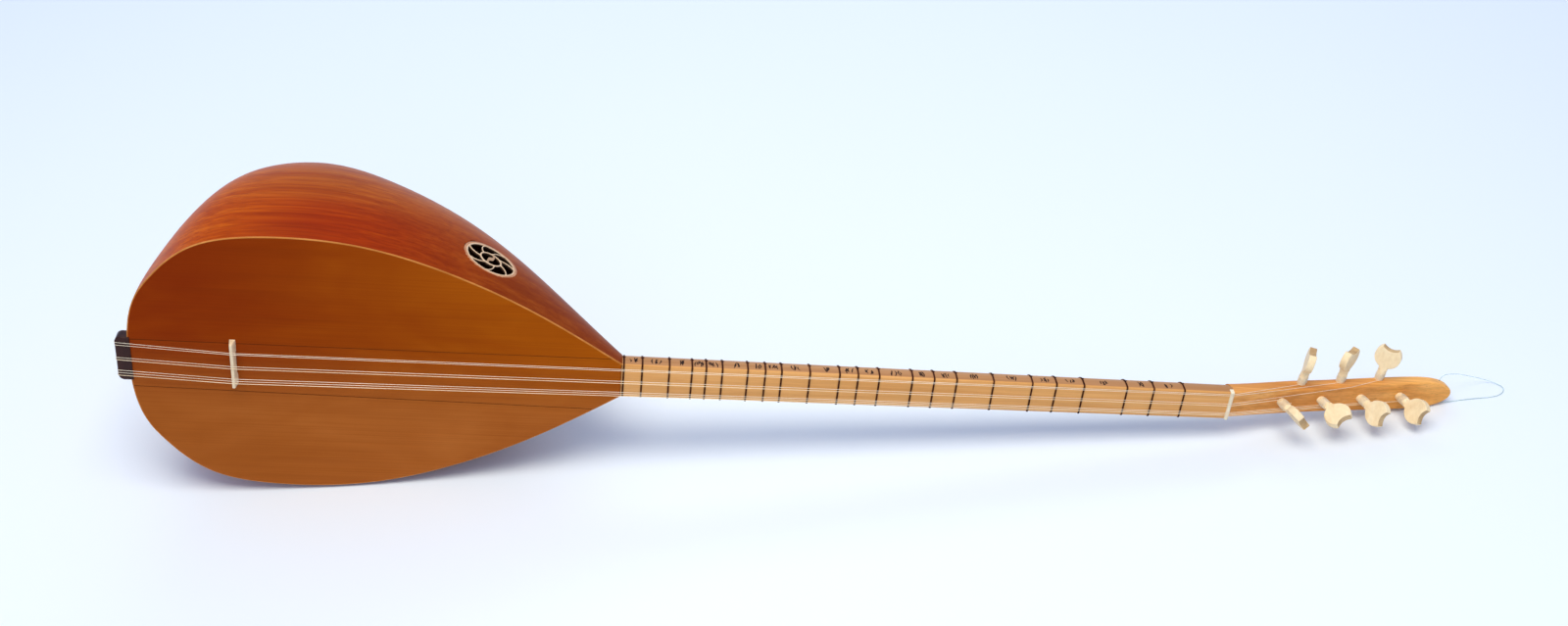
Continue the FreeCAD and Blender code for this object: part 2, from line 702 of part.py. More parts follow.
def string_route(tail_z, bridge_z, nut_z, peg, diameter, frames, head):
    """Corner points of a string, from behind the tailpiece to beside its peg."""
    r = diameter / 2
    outer = -BOWL_LENGTH - TAILPIECE_OUT
    beyond_tail = outer - r - STRING_OFF_TAILPIECE
    over_tail = -TAILPIECE_PROUD - r - STRING_OFF_TAILPIECE
    crest = -BRIDGE_HEIGHT - BRIDGE_GAP - BRIDGE_STRING_GAP - r
    points = [
        Vector(beyond_tail, TAILPIECE_DEPTH * 0.62, tail_z),
        Vector(beyond_tail, over_tail, tail_z),
        Vector(BRIDGE_X, crest, bridge_z),
        Vector(NECK_LENGTH + NUT_CREST_X, -NUT_HEIGHT - r - NUT_STRING_GAP, nut_z),
    ]
    frame = frames[peg]
    axis = frame.Rotation.multVec(Vector(0, 0, 1))
    hub = frame.Base + axis * winding_base(peg)
    offset = PEG_RADIUS + STRING_OFF_PEG + r
    approach = hub - points[-1]
    approach = (approach - axis * approach.dot(axis)).normalize()
    beside = axis.cross(approach)
    upper = beside.z > 0 if peg.startswith("front") else beside.y < 0
    wants_upper = peg in ("front_1", "side_1", "side_2", "side_3")
    if upper != wants_upper:
        beside = beside * -1.0
    end = hub + beside * offset
    if peg in ("side_2", "side_3"):
        points.append(edge_rest(points[-1], end, r, head))
    points.append(end)
    return points


def edge_rest(start, end, r, head):
    """Where a string to a side peg bends over the head's upper front edge."""
    inverse = head.inverse()
    a = inverse.multVec(start)
    b = inverse.multVec(end)
    half = head_half_width((a.x + b.x) / 2)
    edge = (half + 0.1) * (1.0 if b.y > 0 else -1.0)
    share = (edge - a.y) / (b.y - a.y)
    clear = r + 0.15 - HEAD_EDGE_ROUND * 0.3
    return head.multVec(Vector(a.x + (b.x - a.x) * share, edge, clear))


# ---------------------------------------------------------------- bridge, tailpiece, loop

def make_bridge():
    """Low wedge of maple on two feet, standing loose on the soundboard."""
    base = -BRIDGE_GAP
    top = -BRIDGE_HEIGHT - BRIDGE_GAP
    foot = BRIDGE_FOOT / 2
    crest = BRIDGE_CREST / 2
    z0 = BRIDGE_CENTRE_Z - BRIDGE_LENGTH / 2
    corners = [(-foot, base), (foot, base), (crest, top), (-crest, top)]
    points = [Vector(BRIDGE_X + x, y, z0) for x, y in corners]
    bar = Part.Face(Part.makePolygon(points + points[:1])).extrude(Vector(0, 0, BRIDGE_LENGTH))
    relief = box(BRIDGE_X - 10, BRIDGE_X + 10, base - BRIDGE_RELIEF, base + 1,
                 z0 + BRIDGE_FOOT_LENGTH, z0 + BRIDGE_LENGTH - BRIDGE_FOOT_LENGTH)
    return bar.cut(relief)


def make_tailpiece(outer):
    """Rosewood block across the bowl's end, its outer corners rounded."""
    z0 = TAILPIECE_CENTRE_Z - TAILPIECE_LENGTH / 2
    block = box(-BOWL_LENGTH - TAILPIECE_OUT, -BOWL_LENGTH + 14,
                -TAILPIECE_PROUD, TAILPIECE_DEPTH - TAILPIECE_PROUD, z0, z0 + TAILPIECE_LENGTH)
    corners = []
    for edge in block.Edges:
        middle = edge.CenterOfMass
        along_y = edge.Length < TAILPIECE_DEPTH + 0.1 and edge.Length > TAILPIECE_DEPTH - 0.1
        if along_y and middle.x < -BOWL_LENGTH:
            corners.append(edge)
    block = block.makeFillet(TAILPIECE_CORNER, corners)
    edge = [e for e in block.Edges if abs(e.CenterOfMass.y + TAILPIECE_PROUD) < 1e-6
            and e.CenterOfMass.x < -BOWL_LENGTH - TAILPIECE_OUT + 0.1]
    block = block.makeFillet(TAILPIECE_EDGE, edge)
    lip = box(-BOWL_LENGTH - 30, -BOWL_LENGTH + 3, -30, 30, -60, 60)
    return block.common(lip).cut(outer)


# ---------------------------------------------------------------- assembly

def build():
    """All sub-parts in the instrument's own frame, by name."""
    outer = hull_solid(0.0)
    inner = hull_solid(BOWL_WALL)
    snug = hull_solid(BOWL_WALL + BLOCK_GAP)
    below_board = box(-500, 10, BOARD_THICKNESS, 300, -200, 200)
    rosette = rosette_place()
    head = head_place()
    frames = make_peg_frames(head)
    slot_half = NUT_THICKNESS / 2
    nut_slot = box(NECK_LENGTH - slot_half, NECK_LENGTH + slot_half, -10, NUT_DEPTH, -40, 40)

    parts = {}
    parts["bowl"] = make_bowl(outer, inner, rosette)
    binding, upper, centre, lower, seams = make_soundboard(outer)
    parts["edge_binding"] = binding
    parts["soundboard_upper"] = upper
    parts["soundboard_centre"] = centre
    parts["soundboard_lower"] = lower
    parts["soundboard_seams"] = seams
    parts["soundboard_braces"] = make_braces(snug)
    tenon_pocket = box(-TENON_LENGTH - BLOCK_GAP, 5, TENON_FRONT - BLOCK_GAP, TENON_BACK + BLOCK_GAP,
                       -TENON_HALF_WIDTH - BLOCK_GAP, TENON_HALF_WIDTH + BLOCK_GAP)
    neck_end = box(-NECK_BLOCK_LENGTH, -BLOCK_GAP, BOARD_THICKNESS, 300, -200, 200)
    parts["neck_block"] = snug.common(neck_end).cut(tenon_pocket)
    tail_end = box(-500, -BOWL_LENGTH + TAIL_BLOCK_LENGTH, BOARD_THICKNESS, TAIL_BLOCK_DEPTH, -60, 60)
    parts["tail_block"] = snug.common(tail_end)
    parts["rosette"] = make_rosette(outer, rosette)
    parts["tailpiece"] = make_tailpiece(outer)
    parts["bridge"] = make_bridge()
    parts["neck"] = make_neck(nut_slot)
    parts["nut"] = make_nut(nut_slot)
    parts["headstock"] = make_headstock(head, frames, nut_slot)
    for k, cents in enumerate(FRET_CENTS):
        x = NECK_LENGTH - SCALE_LENGTH * (1.0 - 2.0 ** (-cents / 1200.0))
        parts["fret_%02d" % (k + 1)] = make_fret(x)
    for k, (tail_z, bridge_z, nut_z, peg, diameter) in enumerate(STRINGS):
        route = string_route(tail_z, bridge_z, nut_z, peg, diameter, frames, head)
        path = rounded_path(route, string_radius)
        parts["string_%d" % (k + 1)] = tube(path, diameter)
        parts["winding_" + peg] = make_winding(frames[peg], peg, diameter)
    for name, frame in frames.items():
        through = HEAD_THICKNESS_NUT if name.startswith("front") else 2 * HEAD_HALF_WIDTHS[2][1]
        parts["peg_" + name] = make_peg(frame, through + PEG_TAIL_OUT)
    return parts


def resting_placement(parts):
    """Roll and pitch into the resting pose, origin at the bottom centre of the whole."""
    roll = FreeCAD.Rotation(Vector(1, 0, 0), -REST_ROLL)
    pitch = FreeCAD.Rotation(Vector(0, 1, 0), REST_PITCH)
    turn = FreeCAD.Placement(Vector(0, 0, 0), pitch.multiply(roll))
    whole = Part.makeCompound(list(parts.values()))
    whole.Placement = turn
    bounds = whole.optimalBoundingBox(False, False)
    shift = Vector(-(bounds.XMin + bounds.XMax) / 2, -(bounds.YMin + bounds.YMax) / 2, -bounds.ZMin)
    turn.Base = shift
    return turn


def main():
    os.makedirs("parts", exist_ok=True)
    parts = build()
    place = resting_placement(parts)
    for name, shape in parts.items():
        shape.Placement = place.multiply(shape.Placement)
        shape.exportStep("parts/%s.step" % name)
        print("%-20s solids %d  volume %.1f" % (name, len(shape.Solids), shape.Volume))
    make_loop().exportStep("parts/hanging_loop.step")


main()
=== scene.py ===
"""Looks of a long-neck saz: carved bowl, soundboard, tied frets, strings and friction pegs,
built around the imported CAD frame.

Pieces are drawn in the instrument's own frame, in millimetres, as the CAD draws them: x along the
neck from its joint with the bowl, y back from the soundboard, z across it. One matrix, worked out
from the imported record, lays them in the row frame.
"""

import json
import math
import random

import bmesh
import bpy
import numpy as np
from mathutils import Matrix, Vector


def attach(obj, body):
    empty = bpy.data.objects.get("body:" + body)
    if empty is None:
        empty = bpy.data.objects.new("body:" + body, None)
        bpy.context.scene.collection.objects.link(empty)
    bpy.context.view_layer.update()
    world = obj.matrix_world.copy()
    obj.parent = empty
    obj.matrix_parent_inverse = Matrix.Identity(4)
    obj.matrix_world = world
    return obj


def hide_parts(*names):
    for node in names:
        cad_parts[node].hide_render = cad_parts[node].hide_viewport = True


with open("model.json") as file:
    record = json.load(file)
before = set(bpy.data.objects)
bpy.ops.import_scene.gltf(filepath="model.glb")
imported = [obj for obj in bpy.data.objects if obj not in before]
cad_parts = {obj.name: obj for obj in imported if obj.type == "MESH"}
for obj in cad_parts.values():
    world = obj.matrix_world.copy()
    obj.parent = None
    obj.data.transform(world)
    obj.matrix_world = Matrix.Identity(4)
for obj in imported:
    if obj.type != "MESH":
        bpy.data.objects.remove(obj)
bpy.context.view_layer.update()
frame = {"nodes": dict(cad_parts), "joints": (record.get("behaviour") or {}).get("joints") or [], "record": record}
joints = {joint["name"]: joint for joint in frame["joints"]}
mounts = {mount["name"]: mount for mount in frame["record"]["mounts"]}
MM = 0.001


def add_object(name, data):
    made = bpy.data.objects.new(name, data)
    bpy.context.scene.collection.objects.link(made)
    return made


# ---- camera

CAMERA_PLACE = (-0.0844, -1.3169, 1.1283)
CAMERA_HEADING = math.radians(2.70)
CAMERA_DOWN = math.radians(38.32)
CAMERA_ROLL = math.radians(0.84)
CAMERA_LENS = 41.53
CAMERA_SENSOR = 36.0


def make_camera():
    heading_sin, heading_cos = math.sin(CAMERA_HEADING), math.cos(CAMERA_HEADING)
    reach, drop = math.cos(CAMERA_DOWN), math.sin(CAMERA_DOWN)
    forward = Vector((heading_sin * reach, heading_cos * reach, -drop))
    level = Vector((heading_cos, -heading_sin, 0))
    down = forward.cross(level)
    right = level * math.cos(CAMERA_ROLL) + down * math.sin(CAMERA_ROLL)
    down = forward.cross(right)
    data = bpy.data.cameras.new("camera")
    data.lens = CAMERA_LENS
    data.sensor_width = CAMERA_SENSOR
    data.clip_start = 0.05
    data.clip_end = 60.0
    camera = add_object("camera", data)
    turn = Matrix((right, -down, -forward)).transposed().to_4x4()
    camera.matrix_world = Matrix.Translation(CAMERA_PLACE) @ turn
    bpy.context.scene.camera = camera


make_camera()

# ---- the instrument's frame

FACE_MOUNT = Vector((-240.0, 0.0, -80.0))     # where the record's soundboard_face mount sits


def make_instrument_matrix():
    along = Vector(joints["bridge_slide"]["axis"]).normalized()
    back = -Vector(mounts["soundboard_face"]["axis"]).normalized()
    across = along.cross(back)
    turn = Matrix((along, back, across)).transposed()
    base = Vector(mounts["soundboard_face"]["pos_m"]) - turn @ (FACE_MOUNT * MM)
    return Matrix.Translation(base) @ turn.to_4x4()


instrument = make_instrument_matrix()
into_instrument = instrument.inverted()

# ---- materials


class Shader:
    """A Principled material and short calls that add and join nodes."""

    def __init__(self, name, **values):
        self.material = bpy.data.materials.new(name)
        self.material.use_nodes = True
        self.tree = self.material.node_tree
        self.surface = self.tree.nodes["Principled BSDF"]
        for key, value in values.items():
            self.surface.inputs[key.replace("_", " ")].default_value = value

    def node(self, kind, values=(), **settings):
        made = self.tree.nodes.new("ShaderNode" + kind)
        for key, value in settings.items():
            setattr(made, key, value)
        for key, value in dict(values).items():
            made.inputs[key].default_value = value
        return made

    def join(self, source, target):
        self.tree.links.new(source, target)

    def place(self, scale, shift=(0, 0, 0)):
        """Coordinates in the instrument's frame, stretched: small numbers make long streaks."""
        coordinates = self.node("TexCoord")
        turned = self.node("Mapping", {"Location": into_instrument.translation,
                                       "Rotation": into_instrument.to_euler()})
        mapping = self.node("Mapping", {"Scale": scale, "Location": shift})
        self.join(coordinates.outputs["Object"], turned.inputs["Vector"])
        self.join(turned.outputs["Vector"], mapping.inputs["Vector"])
        return mapping.outputs["Vector"]

    def noise(self, vector, detail=4.0, roughness=0.55, distortion=0.0):
        made = self.node("TexNoise", {"Scale": 1.0, "Detail": detail, "Roughness": roughness,
                                      "Distortion": distortion})
        self.join(vector, made.inputs["Vector"])
        return made.outputs["Fac"]

    def ramp(self, factor, stops):
        made = self.node("ValToRGB")
        ramp = made.color_ramp
        while len(ramp.elements) < len(stops):
            ramp.elements.new(0.5)
        for element, (position, colour) in zip(ramp.elements, stops):
            element.position = position
            element.color = tuple(colour) + (1.0,)
        self.join(factor, made.inputs["Fac"])
        return made.outputs["Color"]

    def mix(self, factor, a, b):
        made = self.node("Mix", data_type="RGBA")
        for value, socket in ((factor, made.inputs[0]), (a, made.inputs[6]), (b, made.inputs[7])):
            if isinstance(value, bpy.types.NodeSocket):
                self.join(value, socket)
            else:
                socket.default_value = value if isinstance(value, float) else tuple(value) + (1.0,)
        return made.outputs[2]

    def span(self, value, low, high):
        made = self.node("MapRange", {"To Min": low, "To Max": high})
        self.join(value, made.inputs["Value"])
        return made.outputs["Result"]

    def colour(self, source):
        self.join(source, self.surface.inputs["Base Color"])

    def two_tone(self, scale, low, high, detail=2.0, stops=(0.3, 0.7)):
        """Base colour mottled between two colours; returns the mottle."""
        tone = self.noise(self.place(scale), detail=detail)
        self.colour(self.ramp(tone, [(stops[0], low), (stops[1], high)]))
        return tone

    def rough(self, value, low, high):
        self.join(self.span(value, low, high), self.surface.inputs["Roughness"])

    def bump(self, height, strength, distance):
        made = self.node("Bump", {"Strength": strength, "Distance": distance})
        self.join(height, made.inputs["Height"])
        self.join(made.outputs["Normal"], self.surface.inputs["Normal"])


def wood(name, colours, figure, fibre, roughness, specular=0.5, fibre_depth=0.3, pores=0.0,
         shift=(0, 0, 0), stains_and_painted_light=(), tint=(1.0, 1.0, 1.0)):
    """Wood with broad figure, fine fibres and pores; colours are dark, middle and light.

    figure and fibre are cycles a metre along x, y and z, so the small number is along the grain.
    Each entry in the list of stains and painted light is (axis, start, end, colours): the wood takes on
    its colours from start to end, in metres. Some are partly a stain in the finish; others are painted
    light or shade, such as a painted reflection or a side painted darker for shade.
    """
    s = Shader(name, Specular_IOR_Level=specular, Specular_Tint=tint + (1.0,))
    broad = s.noise(s.place(figure, shift=shift), detail=3.0, roughness=0.6, distortion=0.6)
    fine = s.noise(s.place(fibre, shift=shift), detail=5.0, roughness=0.65)
    base = s.ramp(broad, [(0.30, colours[0]), (0.52, colours[1]), (0.74, colours[2])])
    for axis, start, end, zone_colours in stains_and_painted_light:
        other = s.ramp(broad, [(0.30, zone_colours[0]), (0.52, zone_colours[1]), (0.74, zone_colours[2])])
        parts = s.node("SeparateXYZ")
        s.join(s.place((1, 1, 1)), parts.inputs[0])
        share = s.node("MapRange", {"From Min": start, "From Max": end}, interpolation_type="SMOOTHSTEP")
        s.join(parts.outputs[axis], share.inputs["Value"])
        base = s.mix(share.outputs["Result"], base, other)
    lines = s.ramp(fine, [(0.34, (0.0, 0.0, 0.0)), (0.60, (1.0, 1.0, 1.0))])
    shade = tuple(c * 0.62 for c in colours[0])
    strength = s.node("Math", {1: fibre_depth}, operation="MULTIPLY")
    invert = s.node("Math", {0: 1.0}, operation="SUBTRACT")
    s.join(lines, invert.inputs[1])
    s.join(invert.outputs[0], strength.inputs[0])
    body = s.mix(strength.outputs[0], base, shade)
    if pores:
        speck = s.noise(s.place(tuple(f * 1.9 for f in fibre), shift=shift), detail=2.0)
        dots = s.ramp(speck, [(0.60, (0.0, 0.0, 0.0)), (0.68, (1.0, 1.0, 1.0))])
        amount = s.node("Math", {1: pores}, operation="MULTIPLY")
        s.join(dots, amount.inputs[0])
        body = s.mix(amount.outputs[0], body, shade)
    s.colour(body)
    s.rough(fine, roughness - 0.05, roughness + 0.08)
    s.bump(fine, 0.25, 0.0001)
    return s.material


def maple(name, figure, fibre, base, streaks, share, rough, specular, shift=(0, 0, 0), distortion=0.0):
    """Pale wood; base and streaks are the colour stops of its figure and of its fine fibre."""
    s = Shader(name, Specular_IOR_Level=specular)
    broad = s.noise(s.place(figure, shift=shift), detail=3.0, distortion=distortion)
    fine = s.noise(s.place(fibre, shift=shift), detail=3.0)
    s.colour(s.mix(share, s.ramp(broad, base), s.ramp(fine, streaks)))
    s.rough(fine, *rough)
    s.bump(fine, 0.3, 0.00008)
    return s.material


# ---- the nylon hanging loop

# The route's points, in metres, as the CAD lays it.
LOOP_ROUTE = [
    (0.58633, -0.06655, 0.02290),
    (0.58675, -0.06630, 0.02730),
    (0.59000, -0.06560, 0.03020),
    (0.59650, -0.06350, 0.02920),
    (0.60600, -0.05850, 0.02450),
    (0.61800, -0.05250, 0.01700),
    (0.63100, -0.04780, 0.00960),
    (0.64300, -0.04560, 0.00390),
    (0.65250, -0.04760, 0.00100),
    (0.65750, -0.05300, 0.00045),
    (0.65550, -0.06000, 0.00040),
    (0.64800, -0.06500, 0.00040),
    (0.63700, -0.06690, 0.00040),
    (0.62400, -0.06720, 0.00040),
    (0.61100, -0.06860, 0.00040),
    (0.60000, -0.07000, 0.00040),
    (0.59250, -0.07020, 0.00040),
    (0.58800, -0.06960, 0.00040),
    (0.58362, -0.06845, 0.00050),
    (0.58400, -0.06815, 0.00400),
]
LOOP_DIAMETER = 0.0007


def make_loop():
    curve = bpy.data.curves.new("hanging_loop", "CURVE")
    curve.dimensions = "3D"
    spline = curve.splines.new("NURBS")
    spline.points.add(len(LOOP_ROUTE) - 1)
    for point, place in zip(spline.points, LOOP_ROUTE):
        point.co = (*place, 1.0)
    spline.order_u = 3
    spline.use_endpoint_u = True
    spline.resolution_u = 16
    curve.bevel_depth = LOOP_DIAMETER / 2
    curve.bevel_resolution = 3
    curve.use_fill_caps = True
    s = Shader("clear_nylon", Roughness=0.12, IOR=1.5, Transmission_Weight=0.8)
    s.two_tone((60, 60, 60), (0.66, 0.84, 0.80), (0.80, 0.93, 0.90))
    curve.materials.append(s.material)
    loop = add_object("nylon_loop", curve)
    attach(loop, "root")
    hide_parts("hanging_loop")


make_loop()

# ---- pieces


def make_piece(name, parts, material, nodes=(), body="root", sharp=40.0):
    """A mesh object from (points in instrument millimetres, faces) parts, riding on a body."""
    points, faces = [], []
    for part_points, part_faces in parts:
        start = len(points)
        points += [instrument @ (Vector(p) * MM) for p in part_points]
        faces += [[start + k for k in face] for face in part_faces]
    mesh = bpy.data.meshes.new(name)
    mesh.from_pydata(points, [], faces)
    work = bmesh.new()
    work.from_mesh(mesh)
    bmesh.ops.recalc_face_normals(work, faces=work.faces)
    work.to_mesh(mesh)
    work.free()
    mesh.shade_smooth()
    mesh.set_sharp_from_angle(angle=math.radians(sharp))
    mesh.materials.append(material)
    piece = add_object(name, mesh)
    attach(piece, body)
    if nodes:
        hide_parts(*nodes)
    return piece


def grid(rows, closed=False, caps=False):
    """Faces over rows of points; closed joins each row's last point to its first."""
    points = [point for row in rows for point in row]
    width = len(rows[0])
    faces = []
    for i in range(len(rows) - 1):
        for j in range(width if closed else width - 1):
            k = (j + 1) % width
            faces.append((i * width + j, i * width + k, (i + 1) * width + k, (i + 1) * width + j))
    if caps:
        faces.append(tuple(range(width)))
        faces.append(tuple((len(rows) - 1) * width + j for j in range(width)))
    return points, faces


def solid(rows):
    """A closed solid through rings of points, capped at both ends."""
    return grid(rows, closed=True, caps=True)


def tube(path, radius, closed=False, sides=10):
    """Round wire along a path."""
    path = [Vector(p) for p in path]
    count = len(path)
    rows = []
    side = None
    for k, point in enumerate(path):
        before = path[(k - 1) % count] if closed or k else point
        after = path[(k + 1) % count] if closed or k < count - 1 else point
        tangent = (after - before).normalized()
        if side is None:
            side = tangent.orthogonal()
        side = (side - tangent * side.dot(tangent)).normalized()
        other = tangent.cross(side)
        turns = [2 * math.pi * j / sides for j in range(sides)]
        rows.append([point + (side * math.cos(a) + other * math.sin(a)) * radius for a in turns])
    if not closed:
        return solid(rows)
    points, faces = grid(rows, closed=True)
    first, last = rows[0], rows[-1]
    shift = min(range(sides), key=lambda s: (last[0] - first[s]).length)
    start = (count - 1) * sides
    for j in range(sides):
        k = (j + 1) % sides
        faces.append((start + j, start + k, (k + shift) % sides, (j + shift) % sides))
    return points, faces


def lathe(profile, place, sides=40):
    """Surface of revolution from (radius, height) pairs, about place's Z."""
    rows = []
    for radius, height in profile:
        ring = [2 * math.pi * j / sides for j in range(sides)]
        rows.append([place @ Vector((radius * math.cos(a), radius * math.sin(a), height)) for a in ring])
    return solid(rows)


def slab(outline, y0, y1):
    """Flat board from an outline of (x, z) points, between two depths."""
    count = len(outline)
    points = [(x, y0, z) for x, z in outline] + [(x, y1, z) for x, z in outline]
    faces = [tuple(range(count)), tuple(range(2 * count - 1, count - 1, -1))]
    faces += [(k, (k + 1) % count, count + (k + 1) % count, count + k) for k in range(count)]
    return points, faces


def blend(a, b, share):
    return a + (b - a) * share


def smooth(share):
    share = min(1.0, max(0.0, share))
    return share * share * (3 - 2 * share)


# ---- the bowl's hull

# Half width of the soundboard and depth of the back at each station along x.
HULL_STATIONS = [
    (-418.0, 0.0, 0.0),
    (-411.0, 56.0, 42.0),
    (-394.0, 85.0, 102.0),
    (-369.0, 110.0, 170.0),
    (-331.0, 126.0, 222.0),
    (-280.0, 130.0, 237.0),
    (-217.0, 124.0, 214.0),
    (-142.0, 100.0, 168.0),
    (-66.0, 61.0, 95.0),
    (0.0, 17.3, 27.0),
]
BOWL_LENGTH = 418.0
HULL_FULLNESS = 2.6
TAIL_FLAT_START = 0.022
BOWL_WALL = 3.6
BOARD_THICKNESS = 3.0


class Spline:
    """Cubic spline through points, by chord length, its ends' slopes from a cubic through four."""

    def __init__(self, points):
        p = np.array(points, float)
        chords = np.linalg.norm(np.diff(p, axis=0), axis=1)
        t = np.concatenate(([0.0], np.cumsum(chords)))
        n = len(p)
        system = np.zeros((n, n))
        right = np.zeros_like(p)
        system[0, 0] = system[-1, -1] = 1.0
        right[0] = self.end_slope(t[:4], p[:4])
        right[-1] = self.end_slope(t[-4:][::-1], p[-4:][::-1])
        for k in range(1, n - 1):
            a, b = t[k] - t[k - 1], t[k + 1] - t[k]
            system[k, k - 1:k + 2] = b, 2 * (a + b), a
            right[k] = 3 * (b / a * (p[k] - p[k - 1]) + a / b * (p[k + 1] - p[k]))
        self.t, self.p, self.slopes = t, p, np.linalg.solve(system, right)

    @staticmethod
    def end_slope(t, p):
        powers = np.vander(t - t[0], 4, increasing=True)
        return np.linalg.solve(powers, p)[1]

    def at(self, share):
        t = share * self.t[-1]
        k = int(min(max(np.searchsorted(self.t, t) - 1, 0), len(self.t) - 2))
        h = self.t[k + 1] - self.t[k]
        u = (t - self.t[k]) / h
        return ((1 + 2 * u) * (1 - u) ** 2 * self.p[k] + u * (1 - u) ** 2 * h * self.slopes[k]
                + u * u * (3 - 2 * u) * self.p[k + 1] + u * u * (u - 1) * h * self.slopes[k + 1])


def hull_line(inset):
    points = []
    for x, width, depth in HULL_STATIONS:
        points.append((x * (BOWL_LENGTH - inset) / BOWL_LENGTH,
                       max(width - inset, 0.0), max(depth - inset, 0.0)))
    return Spline(points)


outer_line = hull_line(0.0)
inner_line = hull_line(BOWL_WALL)


def hull_point(line, share, angle):
    x, width, depth = line.at(share)
    cosine, sine = math.cos(angle), math.sin(angle)
    power = HULL_FULLNESS
    reach = (abs(cosine) ** power + abs(sine) ** power) ** (-1.0 / power)
    return Vector((x, depth * reach * sine, width * reach * cosine))


def hull_ring(line, share, start_depth, count):
    """Points round the back at one share, from start_depth behind the front, both sides."""
    depth = line.at(share)[2]
    start = math.asin(min(0.9, start_depth / max(depth, start_depth * 1.2)))
    turns = [start + (math.pi - 2 * start) * k / count for k in range(count + 1)]
    return [hull_point(line, share, turn) for turn in turns]


def share_at(line, x, low=0.0):
    """The share along a spline, from low on, where it reaches x."""
    high = 1.0
    for _ in range(50):
        middle = (low + high) / 2
        if line.at(middle)[0] < x:
            low = middle
        else:
            high = middle
    return low


HULL_SHARES = [TAIL_FLAT_START + (1 - TAIL_FLAT_START) * k / 240 for k in range(241)]


# ---- rosette place

ROSETTE_X = -117.0
ROSETTE_TURN = math.radians(20.0)
ROSETTE_FIT_RADIUS = 34.0
ROSETTE_REACH = 12.0                # how far off its plane the bowl still counts as under it
BOWL_CUT_OUTER, BOWL_CUT_INNER = 23.6, 23.0
BOWL_SKIN_START = 0.85


def make_rosette_frame():
    """Place on the hull with Z outwards and X along it, and the hull's height over that plane."""
    share = share_at(outer_line, ROSETTE_X, low=0.3)
    step = 1e-3
    centre = hull_point(outer_line, share, ROSETTE_TURN)
    ahead, behind = (hull_point(outer_line, share + d, ROSETTE_TURN) for d in (step, -step))
    above, below = (hull_point(outer_line, share, ROSETTE_TURN + d) for d in (step, -step))
    along, around = ahead - behind, above - below
    normal = along.cross(around).normalized()
    if normal.z < 0:
        normal = -normal
    along = (along - normal * along.dot(normal)).normalized()
    turn = Matrix((along, normal.cross(along), normal)).transposed().to_4x4()
    place = Matrix.Translation(centre) @ turn
    back = place.inverted()
    samples = []
    for i in range(-12, 13):
        for j in range(-12, 13):
            point = back @ hull_point(outer_line, share + i * 0.0065, ROSETTE_TURN + j * 0.035)
            if math.hypot(point.x, point.y) < ROSETTE_FIT_RADIUS:
                samples.append(point)
    terms = [(a, b) for a in range(5) for b in range(5 - a)]
    left = np.array([[p.x ** a * p.y ** b for a, b in terms] for p in samples])
    fit = np.linalg.lstsq(left, np.array([p.z for p in samples]), rcond=None)[0]

    def height(x, y):
        return float(sum(c * x ** a * y ** b for c, (a, b) in zip(fit, terms)))

    return place, height


rosette_place, rosette_height = make_rosette_frame()
rosette_inverse = rosette_place.inverted()


def in_rosette(point, radius):
    local = rosette_inverse @ Vector(point)
    return math.hypot(local.x, local.y) < radius and abs(local.z) < ROSETTE_REACH


# ---- bowl

LACQUER_TINT = (1.0, 0.45, 0.08)
BOWL_COLOURS = ((0.245, 0.019, 0.0002), (0.310, 0.028, 0.0002), (0.380, 0.045, 0.0004))
# Partly a stain in the finish and partly painted light falling from the left: the bowl is drawn darker towards the
# neck and lighter towards its tail end.
BOWL_NECK_STAIN_AND_SHADE_COLOURS = ((0.195, 0.028, 0.001), (0.245, 0.042, 0.002), (0.300, 0.066, 0.006))
BOWL_END_STAIN_AND_LIGHT_COLOURS = ((0.44, 0.066, 0.001), (0.56, 0.105, 0.002), (0.64, 0.150, 0.005))
# Painted reflection: the bowl is drawn lighter and bluer towards its back, for the bright surroundings mirrored
# along its upper rim.
BOWL_BACK_REFLECTION_COLOURS = ((0.32, 0.056, 0.003), (0.40, 0.088, 0.007), (0.47, 0.128, 0.014))


def make_bowl():
    # The bowl's colour holds painted light: darker towards the neck and lighter at the tail end, partly a stain
    # and partly light from the left.
    material = wood("bowl_wood", BOWL_COLOURS, figure=(1.8, 105.0, 60.0), fibre=(6.0, 420.0, 330.0),
                    roughness=0.32, specular=0.03, fibre_depth=0.50, tint=LACQUER_TINT,
                    # Towards the back the bowl takes on a painted reflection, lighter and bluer.
                    stains_and_painted_light=[(0, -0.24, -0.08, BOWL_NECK_STAIN_AND_SHADE_COLOURS), (1, 0.040, 0.12, BOWL_BACK_REFLECTION_COLOURS),
                            (0, -0.25, -0.41, BOWL_END_STAIN_AND_LIGHT_COLOURS)])
    skins = []
    for line, start, radius in ((outer_line, BOWL_SKIN_START, BOWL_CUT_OUTER),
                                (inner_line, BOARD_THICKNESS, BOWL_CUT_INNER)):
        rows = [hull_ring(line, share, start, 170) for share in HULL_SHARES]
        points, faces = grid(rows)
        keep = []
        for face in faces:
            if not any(in_rosette(points[k], radius) for k in face):
                keep.append(face)
        width = len(rows[0])
        if line is outer_line:
            keep.append(tuple(range(width)))
            keep.append(tuple(range(len(points) - width, len(points))))
        skins.append((points, keep))
    make_piece("bowl_shell", skins, material, nodes=["bowl"], sharp=50)


make_bowl()

# ---- soundboard

UPPER_SEAM = (22.0, 22.5)
LOWER_SEAM = (-26.5, -32.5)
SEAM_LINE_WIDTH = 0.55
BINDING_INSET = 1.0
BINDING_ROUND = 0.55
BOARD_COLOURS = ((0.194, 0.017, 0.0001), (0.222, 0.024, 0.0002), (0.264, 0.036, 0.0004))
